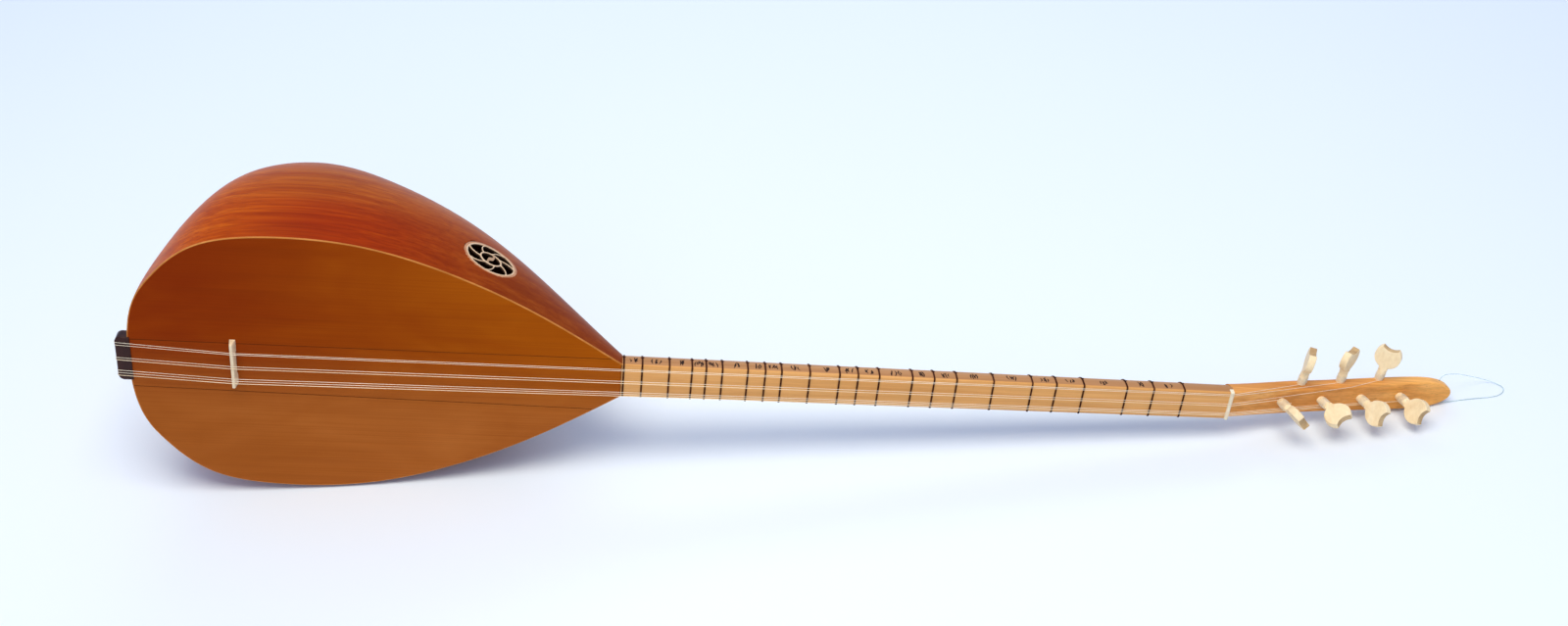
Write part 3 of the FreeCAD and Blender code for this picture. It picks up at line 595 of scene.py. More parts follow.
# Painted reflection of the pale floor: the board is drawn lighter towards the neck and towards its lower edge.
BOARD_FAR_REFLECTION_COLOURS = ((0.330, 0.068, 0.0004), (0.372, 0.084, 0.0008), (0.420, 0.105, 0.0020))
BOARD_LOW_REFLECTION_COLOURS = ((0.335, 0.084, 0.010), (0.378, 0.102, 0.015), (0.425, 0.124, 0.021))


def seam_z(pair, x):
    return blend(pair[0], pair[1], (x + BOWL_LENGTH) / BOWL_LENGTH)


def board_edge(inset):
    """The soundboard's upper edge as (x, half width), drawn in by inset, tail to neck."""
    edge = []
    for share in HULL_SHARES:
        x, width, _ = outer_line.at(share)
        x_before, width_before, _ = outer_line.at(max(share - 1e-3, 0))
        x_after, width_after, _ = outer_line.at(min(share + 1e-3, 1))
        run = math.hypot(x_after - x_before, width_after - width_before)
        normal_x = -(width_after - width_before) / run
        normal_z = (x_after - x_before) / run
        edge.append((x - normal_x * inset, max(width - normal_z * inset, 0.0)))
    return edge


def board_outline(low, high):
    """Closed outline between two heights across the board, each a function of x."""
    inner = board_edge(BINDING_INSET)
    upper = []
    lower = []
    for x, width in inner:
        top = min(width, high(x))
        bottom = max(-width, low(x))
        if top - bottom > 0.05:
            upper.append((x, top))
            lower.append((x, bottom))
    return upper + lower[::-1]


def make_soundboard():
    half = SEAM_LINE_WIDTH / 2
    regions = {
        "soundboard_upper": (lambda x: seam_z(UPPER_SEAM, x) + half, lambda x: 999.0),
        "soundboard_centre": (lambda x: seam_z(LOWER_SEAM, x) + half,
                              lambda x: seam_z(UPPER_SEAM, x) - half),
        "soundboard_lower": (lambda x: -999.0, lambda x: seam_z(LOWER_SEAM, x) - half),
    }
    for k, (name, (low, high)) in enumerate(regions.items()):
        # The board's colour holds a painted reflection of the pale floor, lighter towards the neck and towards the
        # lower edge.
        material = wood("spruce_%d" % (k + 1), BOARD_COLOURS, figure=(6.5, 20.0, 15.0),
                        fibre=(5.0, 300.0, 560.0), roughness=0.45, specular=0.03, fibre_depth=0.20,
                        stains_and_painted_light=[(0, -0.42, 0.03, BOARD_FAR_REFLECTION_COLOURS),
                                (2, 0.035, -0.055, BOARD_LOW_REFLECTION_COLOURS)],
                        shift=(0.37 * k, 0.0, 0.11 * k))
        board = slab(board_outline(low, high), 0.0, BOARD_THICKNESS)
        make_piece(name.replace("soundboard", "board"), [board], material, nodes=[name])
    seam_wood = wood("seam_line", ((0.050, 0.011, 0.001), (0.070, 0.016, 0.0015), (0.100, 0.023, 0.002)),
                     figure=(6, 60, 60), fibre=(20, 600, 600), roughness=0.45, specular=0.03)
    strips = []
    for pair in (UPPER_SEAM, LOWER_SEAM):
        outline = board_outline(lambda x: seam_z(pair, x) - half, lambda x: seam_z(pair, x) + half)
        strips.append(slab(outline, 0.02, BOARD_THICKNESS - 0.2))
    make_piece("board_seams", strips, seam_wood, nodes=["soundboard_seams"])


def make_binding():
    """Pale rounded edge between the soundboard and the bowl, all the way round."""
    pale = wood("binding", ((0.42, 0.14, 0.020), (0.52, 0.19, 0.035), (0.62, 0.25, 0.060)),
                figure=(8, 80, 80), fibre=(30, 500, 500), roughness=0.36, specular=0.1)
    profile = [(BINDING_INSET, BOARD_THICKNESS), (BINDING_INSET, 0.0), (BINDING_ROUND, -0.01)]
    for k in range(1, 6):
        turn = math.pi / 2 * k / 5
        profile.append((BINDING_ROUND * (1 - math.sin(turn)),
                        BINDING_ROUND * (1 - math.cos(turn)) - 0.01))
    profile += [(0.0, 1.1), (0.3, BOARD_THICKNESS)]
    parts = []
    for side in (1, -1):
        rows = []
        insets = {inset: board_edge(inset) for inset, _ in profile}
        for k in range(len(HULL_SHARES)):
            rows.append([(insets[inset][k][0], y, side * insets[inset][k][1]) for inset, y in profile])
        parts.append(solid(rows))
    make_piece("edge_line", parts, pale, nodes=["edge_binding"], sharp=60)


make_soundboard()
make_binding()

# ---- rosette

ROSETTE_RIM = 21.8
ROSETTE_RIM_OUT = 23.3
COLLAR_IN = 23.1
ROSETTE_HUB_RING = 10.4
ROSETTE_HUB_INNER = 9.0
ROSETTE_VANES = 7
ROSETTE_SWEEP = math.radians(-29.0)
ROSETTE_PHASE = math.radians(-3.0)
ROSETTE_BEND = 0.54
ROSETTE_THICKNESS = 2.4
VANE_HALF_WIDTH = 0.46
RIM_OUT = 25.35
RIM_PROUD = 0.10


def arc_through(a, b, c, count):
    """Points on the circle through three points of a plane, from a to c by way of b."""
    ax, ay, bx, by, cx, cy = *a, *b, *c
    d = 2 * (ax * (by - cy) + bx * (cy - ay) + cx * (ay - by))
    aa, bb, cc = ax * ax + ay * ay, bx * bx + by * by, cx * cx + cy * cy
    ux = (aa * (by - cy) + bb * (cy - ay) + cc * (ay - by)) / d
    uy = (aa * (cx - bx) + bb * (ax - cx) + cc * (bx - ax)) / d
    radius = math.hypot(ax - ux, ay - uy)
    start = math.atan2(ay - uy, ax - ux)
    middle = (math.atan2(by - uy, bx - ux) - start + math.pi) % (2 * math.pi) - math.pi
    end = (math.atan2(cy - uy, cx - ux) - start + math.pi) % (2 * math.pi) - math.pi
    if middle * end < 0 or abs(middle) > abs(end):
        end -= math.copysign(2 * math.pi, end)
    turns = [start + end * k / count for k in range(count + 1)]
    return [(ux + radius * math.cos(t), uy + radius * math.sin(t)) for t in turns]


def polar(radius, angle):
    return (radius * math.cos(angle), radius * math.sin(angle))


def bar(path, half_widths, proud=0.0, closed=False, thickness=0.7):
    """Pierced-work bar along a path in the rosette's plane, its top edges eased."""
    count = len(path)
    rows = []
    for k, (x, y) in enumerate(path):
        x0, y0 = path[(k - 1) % count] if closed or k else path[k]
        x1, y1 = path[(k + 1) % count] if closed or k < count - 1 else path[k]
        run = math.hypot(x1 - x0, y1 - y0)
        nx, ny = -(y1 - y0) / run, (x1 - x0) / run
        low, high = half_widths[k]
        ease = min(0.22, (low + high) * 0.25)
        bevel = ease * 0.35
        profile = [(-low, -thickness), (-low, -ease), (-low + bevel, -bevel), (-low + ease, 0.0),
                   (high - ease, 0.0), (high - bevel, -bevel), (high, -ease), (high, -thickness)]
        row = []
        for across, drop in profile:
            px, py = x + nx * across, y + ny * across
            row.append(rosette_place @ Vector((px, py, rosette_height(px, py) + drop + proud)))
        rows.append(row)
    if closed:
        rows.append(rows[0])
    return grid(rows, closed=True, caps=not closed)


def ring_path(radius, count):
    return [polar(radius, 2 * math.pi * k / count) for k in range(count)]


def make_rosette():
    s = Shader("rosette_wood", Specular_IOR_Level=0.3)
    grain = s.two_tone((18, 300, 300), (0.56, 0.36, 0.20), (0.74, 0.54, 0.36), detail=4.0)
    s.rough(grain, 0.45, 0.62)
    s.bump(grain, 0.2, 0.0001)
    parts, painted_shade_walls = [], []

    # Each bar gets a darker, lower copy under it: painted shade on the walls of the openings.
    def both(path, widths, proud=0.0, closed=False):
        parts.append(bar(path, widths, proud, closed))
        painted_shade_walls.append(bar(path, [(low - 0.06, high - 0.06) for low, high in widths], proud - 0.6, closed,
                         ROSETTE_THICKNESS - 0.7))

    middle = (ROSETTE_HUB_RING + ROSETTE_RIM) / 2 + 1.2
    for k in range(ROSETTE_VANES):
        turn = ROSETTE_PHASE + 2 * math.pi * k / ROSETTE_VANES
        path = arc_through(polar(ROSETTE_HUB_RING - 0.5, turn),
                           polar(middle, turn + ROSETTE_SWEEP * ROSETTE_BEND),
                           polar(ROSETTE_RIM + 0.4, turn + ROSETTE_SWEEP), 26)
        widths = []
        for i in range(27):
            flare = 0.40 * max(0.0, 1 - i / 4) + 0.55 * max(0.0, (i - 21) / 5)
            widths.append((VANE_HALF_WIDTH + flare, VANE_HALF_WIDTH + flare))
        both(path, widths)
    ring_half = (ROSETTE_HUB_RING - ROSETTE_HUB_INNER) / 2
    both(ring_path(ROSETTE_HUB_INNER + ring_half, 80), [(ring_half, ring_half)] * 80, 0.01, True)
    rim_middle = (ROSETTE_RIM + ROSETTE_RIM_OUT) / 2
    rim_half = (ROSETTE_RIM_OUT - ROSETTE_RIM) / 2
    both(ring_path(rim_middle, 120), [(rim_half, rim_half)] * 120, RIM_PROUD, True)
    swirl = []
    widths = []
    for k in range(41):
        t = -1 + 2 * k / 40
        radius = abs(t) * ROSETTE_HUB_INNER * 1.04
        angle = math.radians(60.0 + 28.0 * abs(t)) + (math.pi if t < 0 else 0.0)
        swirl.append(polar(radius, angle))
        wide = 0.7 + 1.6 * math.exp(-(t / 0.34) ** 2) + 0.7 * abs(t) ** 3
        widths.append((wide, wide))
    hub = wood("rosette_hub", ((0.30, 0.17, 0.085), (0.42, 0.25, 0.14), (0.54, 0.34, 0.20)),
               figure=(30, 30, 30), fibre=(90, 300, 300), roughness=0.55, specular=0.15)
    make_piece("rosette_hub", [bar(swirl, widths, 0.005)], hub, sharp=35)
    make_piece("rosette_fret", parts, s.material, nodes=["rosette"], sharp=35)
    # Painted shade: the fretwork's walls are drawn near black, for the shade inside the openings.
    dark = wood("rosette_painted_shade_walls", ((0.020, 0.010, 0.006), (0.035, 0.018, 0.010), (0.055, 0.028, 0.015)),
                figure=(60, 60, 60), fibre=(200, 600, 600), roughness=0.6, specular=0.1)
    make_piece("rosette_painted_shade_walls", painted_shade_walls, dark, sharp=35)

    s = Shader("rosette_rim", Specular_IOR_Level=0.2)
    grain = s.two_tone((6, 260, 200), (0.42, 0.17, 0.07), (0.56, 0.27, 0.13), detail=4.0)
    s.rough(grain, 0.3, 0.42)
    half = (RIM_OUT - COLLAR_IN) / 2
    collar = bar(ring_path(RIM_OUT - half, 140), [(half, half)] * 140, RIM_PROUD * 0.6, closed=True)
    make_piece("rosette_rim", [collar], s.material, sharp=35)


make_rosette()

# ---- neck

NECK_LENGTH = 550.0
SCALE_LENGTH = 880.0
NECK_HALF_WIDTHS = (17.3, 14.8)
NECK_CORNER, NECK_SIDE, NECK_FLANK_RADIUS = 0.09, 0.42, 1.17
NECK_FLANK_ANGLE = math.radians(45.0)
NECK_SEAT_DEPTH = 4.9             # the neck runs on under the nut from here back
NUT_THICKNESS = 3.6
NUT_HEIGHT = 1.6


def neck_ring(x, grow=0.0, fineness=8):
    """Closed ring round the neck at x: flat front, straight sides, round back."""
    half = blend(*NECK_HALF_WIDTHS, x / NECK_LENGTH)
    corner, side, flank = NECK_CORNER * half, NECK_SIDE * half, NECK_FLANK_RADIUS * half
    slide = (half - flank) / math.cos(NECK_FLANK_ANGLE)
    keel_y, keel = side - slide * math.sin(NECK_FLANK_ANGLE), flank + slide
    flat = math.pi / 2
    arcs = [
        (corner, half - corner, corner, -flat, 0.0, 4),
        (side, half - flank, flank, 0.0, NECK_FLANK_ANGLE, fineness),
        (keel_y, 0.0, keel, NECK_FLANK_ANGLE, math.pi - NECK_FLANK_ANGLE, 2 * fineness),
        (side, flank - half, flank, math.pi - NECK_FLANK_ANGLE, math.pi, fineness),
        (corner, corner - half, corner, math.pi, math.pi + flat, 4),
    ]
    ring = []
    for centre_y, centre_z, radius, start, end, count in arcs:
        for k in range(count + 1):
            a = blend(start, end, k / count)
            reach = radius + grow
            ring.append((x, centre_y + reach * math.sin(a), centre_z + reach * math.cos(a)))
    clean = [ring[0]]
    for point in ring[1:]:
        if math.dist(point, clean[-1]) > 0.02:
            clean.append(point)
    return clean


NECK_COLOURS = ((0.62, 0.280, 0.075), (0.74, 0.365, 0.115), (0.84, 0.450, 0.160))
# Painted shade: behind its front face the neck is drawn darker, for the shade on its upper side.
NECK_SIDE_SHADE_COLOURS = ((0.36, 0.160, 0.058), (0.455, 0.218, 0.086), (0.535, 0.278, 0.120))
neck_wood = wood("neck_wood", NECK_COLOURS, figure=(2.2, 90.0, 90.0), fibre=(11.0, 560.0, 560.0),
                 roughness=0.42, specular=0.15, fibre_depth=0.20, pores=0.25,
                 stains_and_painted_light=[(1, 0.0005, 0.002, NECK_SIDE_SHADE_COLOURS)])


def make_neck():
    count = 120
    rows = [neck_ring(NECK_LENGTH * k / count) for k in range(count + 1)]
    rows[-1] = [(NECK_LENGTH - NUT_THICKNESS / 2 - 0.02, y, z) for _, y, z in rows[-1]]
    stick = solid(rows)
    heel_end = NECK_LENGTH + NUT_THICKNESS / 2
    seat = [[(x, max(y, NECK_SEAT_DEPTH), z) for _, y, z in neck_ring(NECK_LENGTH)]
            for x in (rows[-1][0][0] - 0.5, heel_end)]
    make_piece("neck_stick", [stick, solid(seat)], neck_wood, nodes=["neck"],
               sharp=38)


make_neck()

# ---- frets

FRET_CENTS = (90, 150, 204, 294, 354, 408, 498, 588, 645, 702, 792, 852,
              906, 996, 1086, 1140, 1200, 1290, 1350, 1404, 1494, 1608, 1690)
FRET_RADIUS = 0.38
FRET_PITCH = 0.82


def fret_x(cents):
    return NECK_LENGTH - SCALE_LENGTH * (1.0 - 2.0 ** (-cents / 1200.0))


def make_frets():
    """Each fret is nylon wound twice round the neck, with a knot on its upper back edge."""
    s = Shader("fret_nylon", Specular_IOR_Level=0.05)
    tone = s.two_tone((400, 90, 90), (0.030, 0.006, 0.003), (0.085, 0.023, 0.010))
    s.rough(tone, 0.38, 0.52)
    dice = random.Random(7)
    for k, cents in enumerate(FRET_CENTS):
        x = fret_x(cents)
        parts = []
        for offset in (-FRET_PITCH / 2, FRET_PITCH / 2):
            lean = dice.uniform(-0.1, 0.1)
            round_neck = neck_ring(x + offset, FRET_RADIUS + 0.02)
            ring = [(px + lean * math.sin(pz / 6), py, pz) for px, py, pz in round_neck]
            parts.append(tube(ring, FRET_RADIUS, closed=True, sides=8))
        half = blend(*NECK_HALF_WIDTHS, x / NECK_LENGTH)
        centre = Vector((x, NECK_SIDE * half + 4.0, half - 0.1))
        turns = [2 * math.pi * j / 14 for j in range(15)]
        knot = [centre + Vector((0.75 * math.cos(a), 0.6 * math.sin(2 * a), 0.35 + 0.3 * math.sin(a)))
                for a in turns]
        parts.append(tube(knot, FRET_RADIUS * 0.9, sides=7))
        for sign in (-1, 1):
            end = centre + Vector((sign * 1.5, 0.5 + dice.uniform(0, 0.6), 0.1))
            hump = centre.lerp(end, 0.5) + Vector((0, 0, 0.3))
            parts.append(tube([centre, hump, end], FRET_RADIUS * 0.85, sides=7))
        number = "fret_%02d" % (k + 1)
        make_piece("tied_" + number, parts, s.material, nodes=[number])


make_frets()


def neck_side_z(x, y):
    """Height of the neck's upper side at a depth behind the fingerboard's face."""
    half = blend(*NECK_HALF_WIDTHS, x / NECK_LENGTH)
    flank, past = NECK_FLANK_RADIUS * half, max(0.0, y - NECK_SIDE * half)
    return half - flank + math.sqrt(flank * flank - past * past)


PEN_HALF_WIDTH, PEN_LIFT, PEN_SPREAD = 0.60, 0.04, 3.8
PAST_LAST_FRET = 16.0


def make_pen_marks():
    """Small pen strokes on the neck's upper side, midway between frets; they form no letters."""
    s = Shader("pen_ink", Roughness=0.6, Specular_IOR_Level=0.1)
    s.two_tone((900, 900, 900), (0.014, 0.006, 0.004), (0.045, 0.020, 0.012), stops=(0.35, 0.65))
    dice = random.Random(19)
    parts = []
    places = [fret_x(cents) for cents in FRET_CENTS]
    for x_fret, x_next in zip(places, places[1:] + [places[-1] - PAST_LAST_FRET]):
        x = (x_fret + x_next) / 2
        half = blend(*NECK_HALF_WIDTHS, x / NECK_LENGTH)
        spread = min(PEN_SPREAD, (x_fret - x_next) / 2 - 2.5)
        for _ in range(dice.choice((4, 5, 5, 6))):
            x0 = x + dice.uniform(-spread, spread)
            y0 = NECK_SIDE * half + dice.uniform(-1.2, 1.2)
            lean = dice.uniform(-2.2, 2.2)
            length = dice.uniform(4.5, 8.0)
            bow = dice.uniform(-1.4, 1.4)
            left, right = [], []
            for j in range(9):
                t = j / 8
                px = x0 + lean * (t - 0.5) + bow * math.sin(math.pi * t)
                py = y0 + length * (t - 0.5)
                wide = PEN_HALF_WIDTH * (1 - 0.35 * abs(2 * t - 1))
                z = neck_side_z(px, py) + PEN_LIFT
                left.append((px - wide, py, z))
                right.append((px + wide, py, z))
            parts.append(grid([left, right]))
    make_piece("pen_marks", parts, s.material)


make_pen_marks()

# ---- head

HEAD_ANGLE = math.radians(8.0)
HEAD_LENGTH = 226.0
HEAD_SET_BACK = 1.4
HEAD_THICKNESS = (20.5, 13.0)
HEAD_HALF_WIDTHS = [(-8.0, 14.8), (0.0, 14.6), (45.0, 13.5), (110.0, 13.6), (172.0, 15.0)]
HEAD_TIP_START = 172.0
HEAD_TIP_POWER = 3.3
HEAD_FRONT_ROUND = 2.2
HEAD_BACK_ROUND = 5.5
HEAD_ROOT_ROUND, HEAD_ROOT_LENGTH = 12.0, 75.0
HEAD_START = 1.9
LOOP_HOLE = (214.0, -7.0, 1.0)      # along the head, behind its face, radius
HEAD_COLOURS = ((0.54, 0.185, 0.030), (0.72, 0.300, 0.070), (0.86, 0.420, 0.125))
# The head is drawn lighter towards its tip.
HEAD_TIP_COLOURS = ((0.74, 0.285, 0.050), (0.93, 0.430, 0.100), (0.98, 0.530, 0.160))

head_along = Vector((math.cos(HEAD_ANGLE), math.sin(HEAD_ANGLE), 0.0))
head_out = Vector((math.sin(HEAD_ANGLE), -math.cos(HEAD_ANGLE), 0.0))
head_frame = Matrix.Translation((NECK_LENGTH, HEAD_SET_BACK, 0.0)) @ Matrix(
    (head_along, head_out.cross(head_along), head_out)).transposed().to_4x4()
head_inverse = head_frame.inverted()


def head_half_width(along):
    for (x0, w0), (x1, w1) in zip(HEAD_HALF_WIDTHS, HEAD_HALF_WIDTHS[1:]):
        if along <= x1:
            return blend(w0, w1, (along - x0) / (x1 - x0))
    return HEAD_HALF_WIDTHS[-1][1]


width_spline = Spline([(x, w) for x, w in HEAD_HALF_WIDTHS] + [(190.0, 14.8)])


def head_outline():
    """Half outline from the nut to the tip: nearly parallel sides, then a round end."""
    half = []
    count = 60
    for k in range(count):
        along = blend(HEAD_START, HEAD_TIP_START, k / count)
        half.append((along, float(width_spline.at(share_at(width_spline, along))[1])))
    reach, widest = HEAD_LENGTH - HEAD_TIP_START, HEAD_HALF_WIDTHS[-1][1]
    for k in range(49):
        s = math.sin(math.pi / 2 * k / 48)
        half.append((HEAD_TIP_START + reach * s, widest * math.sqrt(max(0.0, 1 - s ** HEAD_TIP_POWER))))
    return half


def make_head():
    upper = head_outline()
    outline = upper + [(x, -w) for x, w in upper[-2::-1]]
    count = len(outline)
    normals = []
    for k in range(count):
        x0, w0 = outline[max(k - 1, 0)]
        x1, w1 = outline[min(k + 1, count - 1)]
        run = math.hypot(x1 - x0, w1 - w0)
        normals.append((-(w1 - w0) / run, (x1 - x0) / run))
    normals[0] = (0.0, 1.0)
    normals[-1] = (0.0, -1.0)
    rows = []
    for (x, w), (nx, nw) in zip(outline, normals):
        thick = blend(*HEAD_THICKNESS, x / HEAD_LENGTH)
        root = 1 - smooth(x / HEAD_ROOT_LENGTH)
        back = HEAD_BACK_ROUND + (HEAD_ROOT_ROUND - HEAD_BACK_ROUND) * root
        profile = []
        for k in range(7):
            a = math.pi / 2 * k / 6
            profile.append((HEAD_FRONT_ROUND * (1 - math.sin(a)), -HEAD_FRONT_ROUND * (1 - math.cos(a))))
        for k in range(9):
            a = math.pi / 2 * k / 8
            profile.append((back * (1 - math.cos(a)), -thick + back * (1 - math.sin(a))))
        rows.append([head_frame @ Vector((x - nx * inset, w - nw * inset, depth))
                     for inset, depth in profile])
    points, faces = grid(rows)
    width = len(rows[0])
    faces.append(tuple(k * width for k in range(count)))
    faces.append(tuple(k * width + width - 1 for k in range(count)))
    end = list(range(width)) + [(count - 1) * width + j for j in range(width - 1, -1, -1)]
    faces.append(tuple(end))
    material = wood("head_wood", HEAD_COLOURS, figure=(3.0, 85.0, 70.0), fibre=(14.0, 520.0, 480.0),
                    roughness=0.38, specular=0.15, fibre_depth=0.40, pores=0.35,
                    stains_and_painted_light=[(0, 0.66, 0.76, HEAD_TIP_COLOURS)])
    head = make_piece("head", [(points, faces)], material, nodes=["headstock"])
    cut_peg_holes(head)


def cut_peg_holes(head):
    """Bores for the seven pegs and the hole for the loop, cut through the head."""
    cutters = []
    for frame_of_peg in peg_frames.values():
        bore = PEG_RADIUS + 0.05
        cutters.append(lathe([(bore, -60.0), (bore, 30.0)], frame_of_peg, sides=48))
    along, depth, radius = LOOP_HOLE
    cross = head_frame @ Matrix.Translation((along, 0, depth)) @ Matrix.Rotation(-math.pi / 2, 4, "X")
    cutters.append(lathe([(radius, -30.0), (radius, 30.0)], cross, sides=24))
    cutter = make_piece("cutter", cutters, head.data.materials[0])
    tool = head.modifiers.new("holes", "BOOLEAN")
    tool.operation = "DIFFERENCE"
    tool.solver = "EXACT"
    tool.use_self = True
    tool.object = cutter
    graph = bpy.context.evaluated_depsgraph_get()
    cut = bpy.data.meshes.new_from_object(head.evaluated_get(graph))
    head.modifiers.clear()
    head.data = cut
    bpy.data.objects.remove(cutter)
    cut.set_sharp_from_angle(angle=math.radians(40))
    head.modifiers.new("weighted", "WEIGHTED_NORMAL").keep_sharp = True


# ---- pegs

PEG_RADIUS = 4.0
PEG_SHAFT_OUT = 13.0
PEG_HANDLE_RADIUS = 12.0
PEG_HANDLE_LENGTH = 23.0
PEG_HANDLE_THICKNESS = 6.8
PEG_NOTCH = 2.7
PEG_CHEEK_TURN, PEG_HORN_TURN = math.radians(-60), math.radians(52)
PEG_TAIL_OUT = 2.0
PEG_EDGE_ROUND = 1.25
SIDE_PEG_THROUGH = 27.0
FRONT_PEG_TURNS = (-50.0, 33.0, 70.0, 67.0)
SIDE_PEG_TURNS = (63.0, 35.0, -42.0)


def make_peg_frames():
    """Each peg's own frame: Z out along the shaft, X turned with its handle."""
    frames = {}
    turns = {"front_%d" % (k + 1): turn for k, turn in enumerate(FRONT_PEG_TURNS)}
    turns.update({"side_%d" % (k + 1): turn for k, turn in enumerate(SIDE_PEG_TURNS)})
    for name, turn in turns.items():
        joint = joints["peg_%s_turn" % name]
        origin = into_instrument @ Vector(joint["pos_m"]) / MM
        axis = (into_instrument.to_3x3() @ Vector(joint["axis"])).normalized()
        side = (head_along - axis * head_along.dot(axis)).normalized()
        turned = Matrix((side, axis.cross(side), axis)).transposed().to_4x4()
        frames[name] = Matrix.Translation(origin) @ turned @ Matrix.Rotation(math.radians(turn), 4, "Z")
    return frames


peg_frames = make_peg_frames()


def handle_outline():
    """Right half of a peg's handle, from its foot on the shaft to the middle of the notch."""
    radius = PEG_HANDLE_RADIUS
    centre = PEG_SHAFT_OUT + PEG_HANDLE_LENGTH - radius + 1.5
    points = []
    foot = (PEG_RADIUS + 0.15, PEG_SHAFT_OUT - 2.0)
    cheek = (radius * math.cos(PEG_CHEEK_TURN), centre + radius * math.sin(PEG_CHEEK_TURN))
    tangent = (-math.sin(PEG_CHEEK_TURN), math.cos(PEG_CHEEK_TURN))
    for k in range(9):
        t = k / 8
        a = (foot[0], foot[1] + 3.4)
        b = (cheek[0] - tangent[0] * 3.0, cheek[1] - tangent[1] * 3.0)
        u = 1 - t
        points.append(tuple(u ** 3 * foot[i] + 3 * u * u * t * a[i] + 3 * u * t * t * b[i]
                            + t ** 3 * cheek[i] for i in (0, 1)))
    for k in range(1, 25):
        a = blend(PEG_CHEEK_TURN, PEG_HORN_TURN, k / 24)
        points.append((radius * math.cos(a), centre + radius * math.sin(a)))
    horn = points[-1]
    for k in range(1, 9):
        t = k / 8
        x = horn[0] * (1 - t)
        points.append((x, horn[1] - PEG_NOTCH * (1 - (x / horn[0]) ** 2)))
    return points


def make_pegs():
    end_grain = wood("maple_end", ((0.42, 0.26, 0.12), (0.58, 0.38, 0.18), (0.70, 0.50, 0.26)),
                     figure=(90, 90, 90), fibre=(700, 700, 700), roughness=0.55, specular=0.2)
    right = handle_outline()
    outline = right + [(-x, z) for x, z in right[-2::-1]]
    for number, (name, place) in enumerate(peg_frames.items()):
        shift = (0.13 * number, 0.31 * number, 0.07 * number)
        material = maple("maple_" + name, figure=(46, 46, 30), fibre=(520, 260, 260),
                         base=[(0.30, (0.82, 0.60, 0.32)), (0.55, (0.92, 0.72, 0.42)),
                               (0.75, (0.96, 0.80, 0.52))],
                         streaks=[(0.3, (0.45, 0.28, 0.12)), (0.7, (1.0, 0.84, 0.60))],
                         share=0.16, rough=(0.42, 0.55), specular=0.35, shift=shift, distortion=0.8)
        half = PEG_HANDLE_THICKNESS / 2
        points, faces = slab(outline, -half, half)
        points = [place @ Vector(point) for point in points]
        through = HEAD_THICKNESS[0] if name.startswith("front") else SIDE_PEG_THROUGH
        low = -through - PEG_TAIL_OUT
        r = PEG_RADIUS
        shaft = lathe([(r - 0.9, low), (r - 0.25, low + 0.35), (r, low + 1.0), (r, 9.5),
                       (r - 0.08, 10.6), (r - 0.2, 11.6), (r - 0.5, 13.5)], place)
        body = "peg_%s_body" % name
        handle = make_piece("peg_handle_" + name, [(points, faces)], material,
                            nodes=["peg_" + name], body=body, sharp=35)
        handle.data.materials.append(end_grain)
        for face in handle.data.polygons[2 + len(right) - 9:2 + len(right) + 7]:
            face.material_index = 1
        rounding = handle.modifiers.new("rounding", "BEVEL")
        rounding.width = PEG_EDGE_ROUND * MM
        rounding.segments = 4
        rounding.limit_method = "ANGLE"
        rounding.angle_limit = math.radians(38)
        rounding.harden_normals = True
        make_piece("peg_shaft_" + name, [shaft], material, body=body, sharp=50)


make_pegs()
make_head()

# ---- nut, bridge and tailpiece

STRINGS = [
    (19.0, 18.0, 13.5, "side_1", 0.36),
    (16.4, 16.4, 12.1, "side_2", 0.36),
    (3.6, 4.2, 3.0, "side_3", 0.36),
    (1.2, 1.8, 0.9, "front_1", 0.50),
    (-9.6, -8.8, -7.0, "front_2", 0.36),
    (-12.2, -11.2, -8.4, "front_3", 0.36),
    (-14.8, -13.6, -9.8, "front_4", 0.50),
]
BRIDGE_X = NECK_LENGTH - SCALE_LENGTH
BRIDGE_HEIGHT, BRIDGE_GAP = 9.0, 0.05
BRIDGE_LENGTH, BRIDGE_CENTRE_Z, BRIDGE_FOOT, BRIDGE_CREST = 45.0, 3.5, 5.0, 2.6
NUT_DEPTH, NUT_CREST_X = 5.0, 0.4
TAILPIECE_OUT, TAILPIECE_IN, TAILPIECE_DEPTH, TAILPIECE_PROUD = 9.5, 2.9, 12.0, 1.2
TAILPIECE_LENGTH, TAILPIECE_CENTRE_Z, TAILPIECE_CORNER = 44.0, 2.0, 5.0


def dips(z, places, half, depth):
    """How far a crest is cut down at z by a small round notch at each place."""
    cut = 0.0
    for place in places:
        away = abs(z - place) / half
        if away < 1:
            cut = max(cut, depth * math.sqrt(1 - away * away))
    return cut


def make_nut():
    s = Shader("nut_bone", Coat_Weight=0.2, Subsurface_Weight=0.08, Subsurface_Scale=0.002)
    tone = s.two_tone((160, 160, 40), (0.72, 0.57, 0.34), (0.86, 0.75, 0.54), detail=3.0)
    s.rough(tone, 0.3, 0.42)
    half = NECK_HALF_WIDTHS[1]
    grooves = [string[2] for string in STRINGS]
    rows = []
    count = 220
    for k in range(count + 1):
        z = blend(-half, half, k / count)
        ease = 0.5 * (1 - math.sqrt(max(0.0, 1 - max(0.0, (abs(z) - half + 0.8) / 0.8) ** 2)))
        crest = NUT_HEIGHT - ease - dips(z, grooves, 0.34, 0.28)
        w = NUT_THICKNESS / 2
        row = [(-w, NUT_DEPTH), (-w, -crest + 1.0), (-w + 0.25, -crest + 0.45),
               (-w + 0.9, -crest + 0.05), (0.2, -crest), (w - 0.9, -crest + 0.12),
               (w - 0.25, -crest + 0.5), (w, -crest + 1.1), (w, NUT_DEPTH)]
        rows.append([(NECK_LENGTH + x, y, z) for x, y in row])
    make_piece("nut_block", [solid(rows)], s.material, nodes=["nut"],
               sharp=50)


